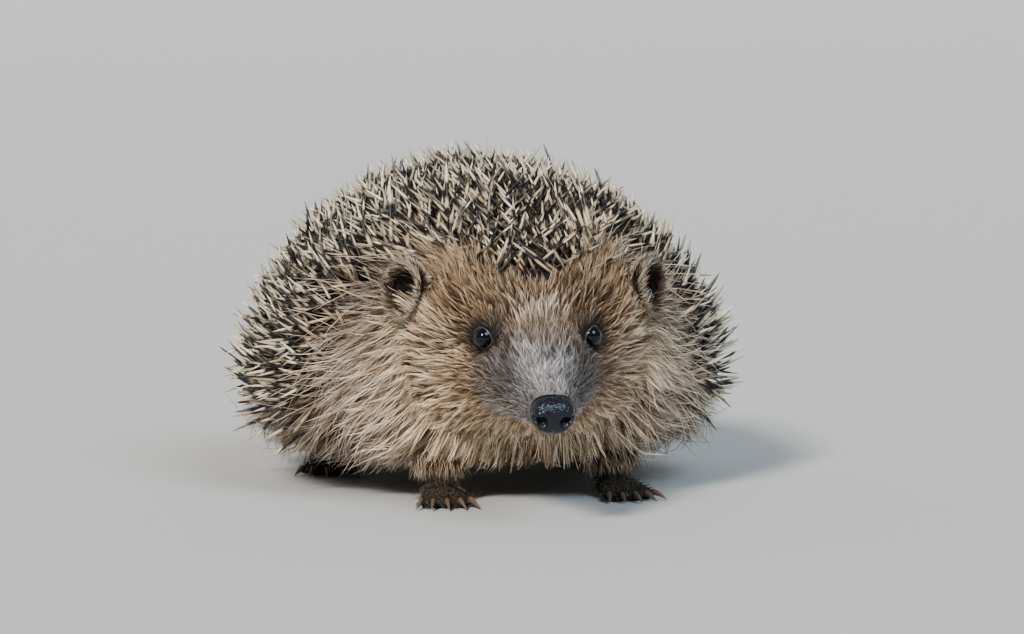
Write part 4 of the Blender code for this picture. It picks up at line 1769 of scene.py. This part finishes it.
@dataclass
class Spines:
    """The spined back, in a left and a right piece."""

    lay: Lay = Lay(4300, lean=(31.0, 40.0), width_mm=0.63, stray=33.0, sides=5,
                   profile=Profile.SPINE)
    first_station: float = 6.2
    longest: float = 23.0 * MM
    at_brow: float = 17.0 * MM
    height: tuple[float, float] = (0.62, 1.05)
    root_seed: int = 11
    seed: int = 20

    def build(self) -> None:
        """Grows the spines over the back and splits them at the middle."""
        last = PLAN.last - 0.02
        roots = body_roots(self.lay.count, self.first_station, last, self._weight, self.root_seed)
        roots.spot = None
        depth = ramp(roots.reach, 4.0 * MM, 14.0 * MM)
        roots.length = self.at_brow + (self.longest - self.at_brow) * depth
        rise = UP - roots.normal * roots.normal[:, 2:]
        skirt = 1.0 - ramp(brow_line(roots.place), -6.0, 6.0)
        roots.flow = unit(roots.flow + rise * (0.8 + 0.9 * skirt)[:, None])
        material = SpineFinish().material()
        for side in Side:
            shell = grow(roots.on(side), self.lay, self.seed + side.value, self.height)
            make_piece(f"spines_{side.word}", shell, "spine_coat", material)

    @staticmethod
    def _weight(station: Array, around: Array, tips: Array) -> Array:
        """One over the spined back, 2 mm lower on the head, and nothing below its edge."""
        return (brow_line(tips) > -2.0 * (tips[:, 1] < -40.0 * MM)).astype(float)


@dataclass
class FurRegion:
    """One piece of hair over a length of the body.

    Attributes:
        name: The piece's name.
        span: First and last station.
        lay: How the hair lies.
        seed: Number that its random draws follow from.
        side: Its side of the animal, or None for both.
        belly: Whether it is the belly or all but the belly.
        height: Shares of the coat's depth that tips reach.
        past_edge_mm: How far it goes in among the spines.
    """

    name: str
    span: tuple[float, float]
    lay: Lay
    seed: int
    side: Side | None = None
    belly: bool = False
    height: tuple[float, float] = (0.3, 1.05)
    past_edge_mm: float = 5.0

    def build(self, material: bpy.types.Material) -> None:
        """Grows the region's hair, no longer than it takes to reach in among the spines."""
        roots = body_roots(self.lay.count, *self.span, self._weight, self.seed)
        if self.belly:
            roots.length = roots.length * 0.5
        roots = Parting().of(roots)
        room = (4.0 + 2.5 * wobble(roots.place, 3.0 * MM, 9) - brow_line(roots.place)) * MM
        roots.length = np.clip(roots.length, 3.0 * MM, np.maximum(room, 3.5 * MM))
        shell = grow(roots, self.lay, self.seed + 1, self.height)
        make_piece(self.name, shell, "face_fur", material)

    def _weight(self, station: Array, around: Array, tips: Array) -> Array:
        """One where this hair grows: under the spines' edge and on its own side."""
        keep = brow_line(tips) < self.past_edge_mm
        under = (around > 0.58) & (around < 0.92) & (station > 11.2)
        keep &= under if self.belly else ~under
        if self.side is not None:
            keep &= np.cos(2.0 * math.pi * around) * self.side.value >= 0
        return keep.astype(float)


def fur_regions() -> list[FurRegion]:
    """All hair of the body, from the snout to the rump."""
    short = Lay(3500, 3, width_mm=0.125, spread_mm=0.32, profile=Profile.SHORT)
    face, cheek = Lay(2000, 3), Lay(2200, 3, stray=12.0)
    ruff = Lay(2100, 3, width_mm=0.128, spread_mm=0.38, gather=0.76, stray=14.0)
    flank = replace(ruff, count=1750)
    belly = Lay(1100, 3, width_mm=0.3, stray=18.0, profile=Profile.SHORT)
    regions = [FurRegion("fur_muzzle", (0.05, 4.0), short, 31)]
    for side in Side:
        seed = 240 + 100 * side.value
        regions += [
            FurRegion(f"fur_face_{side.word}", (3.8, 6.2), face, seed, side),
            FurRegion(f"fur_cheek_{side.word}", (6.0, 8.4), cheek, seed + 3, side),
            FurRegion(f"fur_ruff_{side.word}", (8.2, 11.2), ruff, seed + 6, side),
            FurRegion(f"fur_flank_{side.word}", (11.0, 18.6), flank, seed + 9, side),
        ]
    regions.append(FurRegion("fur_belly", (11.0, 18.4), belly, 71, belly=True))
    return regions


@dataclass
class GuardHairs:
    """Long pale stiff hairs that stand out of the ruff and the flanks, one piece a side."""

    lay: Lay = Lay(1500, length=(0.9, 1.4), width_mm=0.17, stray=17.0)
    span: tuple[float, float] = (6.6, 15.0)
    height: tuple[float, float] = (0.8, 1.3)
    dimmest: float = 0.6
    root_seed: int = 61
    seed: int = 64

    def build(self, material: bpy.types.Material) -> None:
        """Grows the hairs over both sides and splits them at the middle."""
        roots = body_roots(self.lay.count, *self.span, self._weight, self.root_seed)
        roots = Parting().of(roots)
        for side in Side:
            shell = grow(roots.on(side), self.lay, self.seed + side.value, self.height)
            chance_and_depth_shade = shell.marks["chance_and_depth_shade"]
            shell.marks["chance_and_depth_shade"] = self.dimmest + (1.0 - self.dimmest) * chance_and_depth_shade
            make_piece(f"guard_{side.word}", shell, "face_fur", material)

    @staticmethod
    def _weight(station: Array, around: Array, tips: Array) -> Array:
        """One on the sides, below the spines' edge."""
        aside = np.abs(np.cos(2.0 * math.pi * around)) > 0.45
        return (aside & (brow_line(tips) < 2.0)).astype(float)


@dataclass
class LimbFur:
    """Short hair on legs, feet and the tail, grown from the skin's own faces."""

    lay: Lay = Lay(4500, lean=(60.0, 80.0), width_mm=0.4, profile=Profile.SHORT)
    leg_top: float = 24.0 * MM
    tail_from: float = 84.0 * MM
    tail_top: float = 14.0 * MM
    root_seed: int = 81
    seed: int = 82

    def build(self, skin: bpy.types.Object, material: bpy.types.Material) -> None:
        """Grows hair down the limbs and along the tail, from the skin's faces."""
        place, out = self._picked(skin.data)
        on_tail = (place[:, 1] > self.tail_from)[:, None]
        ahead = np.where(on_tail, [0.0, 1.0, -0.3], [0.0, -0.8, -0.9])
        patch = np.stack([ranked(place[:, 0]), ranked(place[:, 1])], axis=-1) * (1 - TUFT_PATCH)
        high = ramp(place[:, 2], 6.0 * MM, 16.0 * MM)
        reach, length = (1.6 + 4.0 * high) * MM, (2.4 + 8.0 * high) * MM
        shell = grow(Roots(place, out, flattened(ahead, out), patch, reach, length),
                     self.lay, self.seed)
        shell.points[:, 2] = np.maximum(shell.points[:, 2], 0.1 * MM)
        make_piece("fur_limbs", shell, "face_fur", material)

    def _picked(self, mesh: bpy.types.Mesh) -> tuple[Array, Array]:
        """Faces picked by area on limbs and tail: places, a little moved, and normals."""
        count = len(mesh.polygons)
        centre, normal, area = np.empty(count * 3), np.empty(count * 3), np.empty(count)
        mesh.polygons.foreach_get("center", centre)
        mesh.polygons.foreach_get("normal", normal)
        mesh.polygons.foreach_get("area", area)
        centre, normal = centre.reshape(-1, 3), normal.reshape(-1, 3)
        height = centre[:, 2]
        leg = (height > 1.2 * MM) & (height < self.leg_top) & (normal[:, 2] > -0.75)
        leg &= np.min([foot.off_leg(centre) for _, foot in all_feet()], axis=0) < 1.6 * MM
        tail = (centre[:, 1] > self.tail_from) & (height < self.tail_top)
        weight = area * (leg | tail)
        rng = np.random.default_rng(self.root_seed)
        picked = rng.choice(count, self.lay.count, p=weight / weight.sum())
        place = centre[picked]
        return place + rng.normal(0.0, 0.25 * MM, place.shape), normal[picked]


@dataclass
class EarFur:
    """Short hair round the rim and over the back of both ears."""

    lay: Lay = Lay(1100, 2, lean=(48.0, 72.0), width_mm=0.27, spread_mm=0.5, stray=16.0,
                   profile=Profile.SHORT)
    rim_share: float = 0.4
    darker: float = 0.5
    reach: float = 2.6 * MM
    length: float = 5.0 * MM
    root_seed: int = 90
    seed: int = 92

    def build(self, material: bpy.types.Material) -> None:
        """Grows hair on each ear."""
        for side in Side:
            shell = grow(self._roots(EarPlan(side)), self.lay, self.seed + side.value)
            shell.marks["marking"] *= self.darker
            shell.marks["shaft"] = 0.4 + 0.6 * shell.marks["shaft"]
            make_piece(f"fur_ear_{side.word}", shell, "bare_skin", material)

    def _roots(self, ear: EarPlan) -> Roots:
        """Roots on the rim first and then on the back, with hair that lies outwards."""
        count = self.lay.count
        rng = np.random.default_rng(self.root_seed + ear.side.value)
        angle = 2.0 * math.pi * ((np.arange(count) * GOLDEN) % 1.0)
        share = (np.arange(count) + 0.5) / count
        reach = 1.0 - 0.35 * share**2 + rng.normal(0.0, 0.01, count)
        behind = share > self.rim_share
        facing, across, upright = ear.axes
        place = ear.rim_point(reach, angle, ear.wall * np.where(behind, 1.0, 0.3))
        out = across * np.cos(angle)[:, None] + upright * np.sin(angle)[:, None]
        normal = unit(out + facing * np.where(behind, -0.9, 0.25)[:, None])
        away = PLAN.head_axes[1] * (0.5 * ear.side.value) + PLAN.head_axes[2] * 0.2 + out * 1.2
        patch = np.stack([angle / (2 * math.pi), share], -1) * (1 - TUFT_PATCH)
        return Roots(place, normal, flattened(away, normal), patch,
                     np.full(count, self.reach), np.full(count, self.length))


@dataclass
class Whiskers:
    """Long stiff hairs on both sides of the snout, which sweep out and back."""

    lay: Lay = Lay(26, length=(0.7, 1.35), lean=(30.0, 66.0), width_mm=0.09, stray=14.0,
                   profile=Profile.WHISKER)
    colour: Shade = (86, 78, 74)
    reach: float = 14.0 * MM
    length: float = 18.0 * MM
    root_seed: int = 7
    seed: int = 8

    def build(self, material: bpy.types.Material) -> None:
        """Sets the hairs 5 to 17 mm behind the nose."""
        count = self.lay.count
        for side in Side:
            rng = np.random.default_rng(self.root_seed + side.value)
            behind = rng.uniform(5.0, 17.0, count)
            station = np.interp(behind, (3.2, 7.0, 13.0, 20.0), (0, 1, 2, 3))
            around = 0.25 - side.value * rng.uniform(0.16, 0.30, count)
            place, normal, back = PLAN.frame_at(station, around % 1.0)
            patch = rng.uniform(0.0, 1.0 - TUFT_PATCH, (count, 2))
            roots = Roots(place, normal, back, patch,
                          np.full(count, self.reach), np.full(count, self.length))
            shell = grow(roots, self.lay, self.seed + side.value)
            shell.marks["marking"][:] = tone(*self.colour)
            make_piece(f"whiskers_{side.word}", shell, "face_fur", material)


# -------- eyes, nose and claws


@dataclass
class Eyes:
    """Both eyeballs with their lids."""

    lid_tube: float = 0.26 * MM
    lid_half: float = 2.72 * MM

    def build(self) -> None:
        """Makes each eyeball and the rim of skin around it."""
        gloss = EyeFinish().material()
        lid = HornFinish("eyelid", (58, 50, 46), 0.3).material()
        for side in Side:
            eye, word = EyePlan(side), side.word
            make_piece(f"eyeball_{word}", self._ball(eye), "eye_gloss", gloss, f"eye_{word}")
            make_piece(f"eyelids_{word}", self._lids(eye), "bare_skin", lid)

    @staticmethod
    def _ball(eye: EyePlan) -> Shell:
        """A ball with its poles along the way it looks, and the cornea swelling by 4 %."""
        polar = np.linspace(0.02, math.pi - 0.02, 40)[:, None]
        angle = -2.0 * math.pi * np.arange(48)[None] / 48
        swell = 1.0 + 0.04 * (1.0 - ramp(polar, 0.5, 1.1))
        out = eye.across * (np.sin(polar) * np.cos(angle))[..., None]
        out = out + eye.upright * (np.sin(polar) * np.sin(angle))[..., None]
        out = out + eye.looks * np.cos(polar)[..., None]
        if eye.side is Side.LEFT:
            out = out[:, ::-1]
        shell = closed_grid(eye.centre + out * (eye.radius * swell)[..., None])
        facing = unit(shell.points - eye.centre) @ eye.looks
        shell.marks["iris"] = ramp(facing, 0.80, 0.84)
        return shell

    def _lids(self, eye: EyePlan) -> Shell:
        """A ring that hugs the ball: a round tube along an almond, thicker above."""
        turn = 2.0 * math.pi * np.arange(64) / 64
        wide, tall = np.cos(turn), np.sin(turn)
        almond = 1.0 + 0.10 * np.abs(wide) ** 6
        path = eye.centre + eye.across * (self.lid_half * almond * wide)[:, None]
        path = path + eye.upright * (self.lid_half * 0.93 * tall)[:, None]
        path = path + eye.looks * (eye.lid_height + 0.25 * MM - 0.45 * MM * wide**4)[:, None]
        ahead = unit(np.roll(path, -1, 0) - np.roll(path, 1, 0))
        out = unit(path - eye.centre - eye.looks * ((path - eye.centre) @ eye.looks)[:, None])
        up = np.cross(ahead, out)
        angle = 2.0 * math.pi * np.arange(14) / 14
        thick = self.lid_tube * (1.0 + 0.25 * np.maximum(tall, 0.0))
        rings = path[:, None] + thick[:, None, None] * (
            out[:, None] * np.cos(angle)[:, None] + up[:, None] * np.sin(angle)[:, None]
        )
        quads = wall(*rings.shape[:2], closed=True)
        return Shell(rings.reshape(-1, 3), quads.ravel(), np.arange(quads.size // 4) * 4)


@dataclass
class NosePad:
    """The bare nose: a rounded block with comma-shaped nostrils and a middle groove."""

    half_width: float = 5.7 * MM
    half_height: float = 4.8 * MM
    front: float = 4.9 * MM
    back: float = 3.2 * MM

    def build(self) -> None:
        """Makes the pad as a superellipsoid and presses its nostrils in."""
        rows, columns = 90, 120
        polar = np.linspace(0.01, math.pi - 0.01, rows)[:, None]
        angle = 2.0 * math.pi * np.arange(columns)[None] / columns
        out, along = np.sin(polar) ** 0.62, np.sign(np.cos(polar)) * np.abs(np.cos(polar)) ** 0.8
        wide = out * np.sign(np.cos(angle)) * np.abs(np.cos(angle)) ** 0.74 * self.half_width
        tall = out * np.sign(np.sin(angle)) * np.abs(np.sin(angle)) ** 0.74 * self.half_height
        wide = wide * (1.0 - 0.24 * ramp(-tall, 0.0, self.half_height))
        deep = along * np.where(along > 0, self.front, self.back)
        deep = deep - 0.22 * np.maximum(tall, 0) * (along > 0)
        forward = deep - self._dents(wide, tall, deep)
        offset = forward - 0.6 * MM
        place = PLAN.on_head(-offset.ravel(), wide.ravel(), tall.ravel() + 0.1 * MM)
        shell = closed_grid(place.reshape(rows, columns, 3))
        make_piece("nose_pad", shell, "nose_leather", NoseFinish().material(), "nose")

    def _dents(self, wide: Array, tall: Array, deep: Array) -> Array:
        """Depth of nostrils and groove: bell curves over the front of the pad.

        Each nostril is a round pit with a slit that runs from it outwards and back.
        """
        face = ramp(deep, -0.5 * MM, 1.5 * MM)
        total = 0.35 * MM * np.exp(-((wide / (0.45 * MM)) ** 2)) * (tall < 1.5 * MM)
        for side in Side:
            x = wide * side.value - 2.7 * MM
            pit = np.exp(-((x / (1.2 * MM)) ** 2) - (((tall + 0.6 * MM) / (1.35 * MM)) ** 2))
            slit_place = tall + 0.5 * MM - 0.35 * x
            slit = np.exp(-((slit_place / (0.6 * MM)) ** 2)) * ramp(x, 0.0, 1.2 * MM)
            total = total + 2.6 * MM * pit + 1.7 * MM * slit * face
        return total * face


@dataclass
class Claws:
    """The claws of each foot, one piece for each foot."""

    def build(self) -> None:
        """Makes five claws on each of the four feet."""
        horn = HornFinish("claw_horn", (96, 80, 66), 0.35).material()
        for name, foot in all_feet():
            make_piece(f"claws_{name}", join(foot.claws()), "bare_skin", horn)


# -------- stage


@dataclass(frozen=True)
class StudioLight:
    """A far light: the way to it, how wide it looks in degrees, its power and colour."""

    name: str
    towards: tuple[float, float, float]
    wide: float
    power: float
    colour: tuple[float, float, float]

    def build(self) -> None:
        """Puts the light up."""
        data = bpy.data.lights.new(self.name, "SUN")
        data.angle, data.energy, data.color = math.radians(self.wide), self.power, self.colour
        lamp = bpy.data.objects.new(self.name, data)
        lamp.rotation_euler = Vector(self.towards).to_track_quat("Z", "Y").to_euler()
        bpy.context.scene.collection.objects.link(lamp)


@dataclass
class Stage:
    """Plain floor, soft studio light and the camera."""

    azimuth: float = -16.0
    elevation: float = 6.0
    distance: float = 1.45
    lens: float = 200.0
    floor_colour: tuple[float, ...] = (0.5, 0.495, 0.48, 1.0)
    sky_colour: tuple[float, ...] = (0.82, 0.86, 0.9, 1.0)
    sky_power: float = 0.24
    lights: tuple[StudioLight, ...] = (
        StudioLight("key", (-0.85, -1.0, 0.95), 11.0, 4.8, (1.0, 0.95, 0.88)),
        StudioLight("sky", (0.3, -0.8, 0.85), 30.0, 2.1, (0.64, 0.83, 1.0)),
        StudioLight("back", (0.35, 1.0, 0.9), 25.0, 1.8, (1.0, 0.98, 0.95)),
    )

    def build(self) -> None:
        """Sets up floor, lights, world and camera."""
        self._floor()
        for light in self.lights:
            light.build()
        world = bpy.data.worlds.new("studio")
        world.use_nodes = True
        sky = world.node_tree.nodes["Background"]
        sky.inputs["Color"].default_value = self.sky_colour
        sky.inputs["Strength"].default_value = self.sky_power
        bpy.context.scene.world = world
        self._camera()

    def _floor(self) -> None:
        """A wide pale floor under the feet that curves up into a wall far behind."""
        bend = np.linspace(0.0, math.pi / 2, 24)
        along = np.concatenate([[-16.0], 2.4 + 1.2 * np.sin(bend), [3.6]])
        height = np.concatenate([[0.0], 1.2 - 1.2 * np.cos(bend), [5.0]])
        x, y = np.meshgrid([-16.0, 16.0], along)
        points = np.stack([x, y, np.repeat(height[:, None], 2, axis=1)], -1).reshape(-1, 3)
        base = 2 * np.arange(len(along) - 1)[:, None]
        floor = as_object("floor", Shell(points, (base + [0, 1, 3, 2]).ravel(), 2 * base.ravel()))
        made, bench, shader = new_material("floor_paint")
        bench.feed(shader, {"Base Color": self.floor_colour, "Roughness": 0.85})
        floor.data.materials.append(made)

    def _camera(self) -> None:
        """Looks at the face from a little to its right, level with the body."""
        turn, rise = math.radians(self.azimuth), math.radians(self.elevation)
        flat = math.cos(rise)
        back = Vector((math.sin(turn) * flat, -math.cos(turn) * flat, math.sin(rise)))
        right = Vector((math.cos(turn), math.sin(turn), 0.0))
        up = back.cross(right)
        eyes = Vector(PLAN.on_head(31.0 * MM, 0.0, 5.6 * MM)[0])
        aim = eyes - right * (6.5 * MM) + up * (5.0 * MM)
        data = bpy.data.cameras.new("camera")
        data.lens, data.sensor_width = self.lens, 36.0
        data.clip_start, data.clip_end = 0.05, 50.0
        camera = bpy.data.objects.new("camera", data)
        camera.location = aim + back * self.distance
        camera.rotation_euler = back.to_track_quat("Z", "Y").to_euler()
        bpy.context.scene.collection.objects.link(camera)
        bpy.context.scene.camera = camera


def main() -> None:
    """Builds the skin, the coat, the bare parts and the stage."""
    logging.basicConfig(level=logging.INFO, format="%(name)s: %(message)s")
    Stage().build()
    GROUPS["hair_tint"] = hair_tint_group()
    GROUPS["speckle"] = speckle_group()
    skin = Hide().build()
    Eyes().build()
    NosePad().build()
    Claws().build()
    fur = HairFinish("fur").material()
    Spines().build()
    for region in fur_regions():
        region.build(fur)
    GuardHairs().build(fur)
    LimbFur().build(skin, fur)
    EarFur().build(fur)
    Whiskers().build(HairFinish("whisker", root=0.9, tip=0.9, spread=0.4).material())


if __name__ == "__main__":
    main()
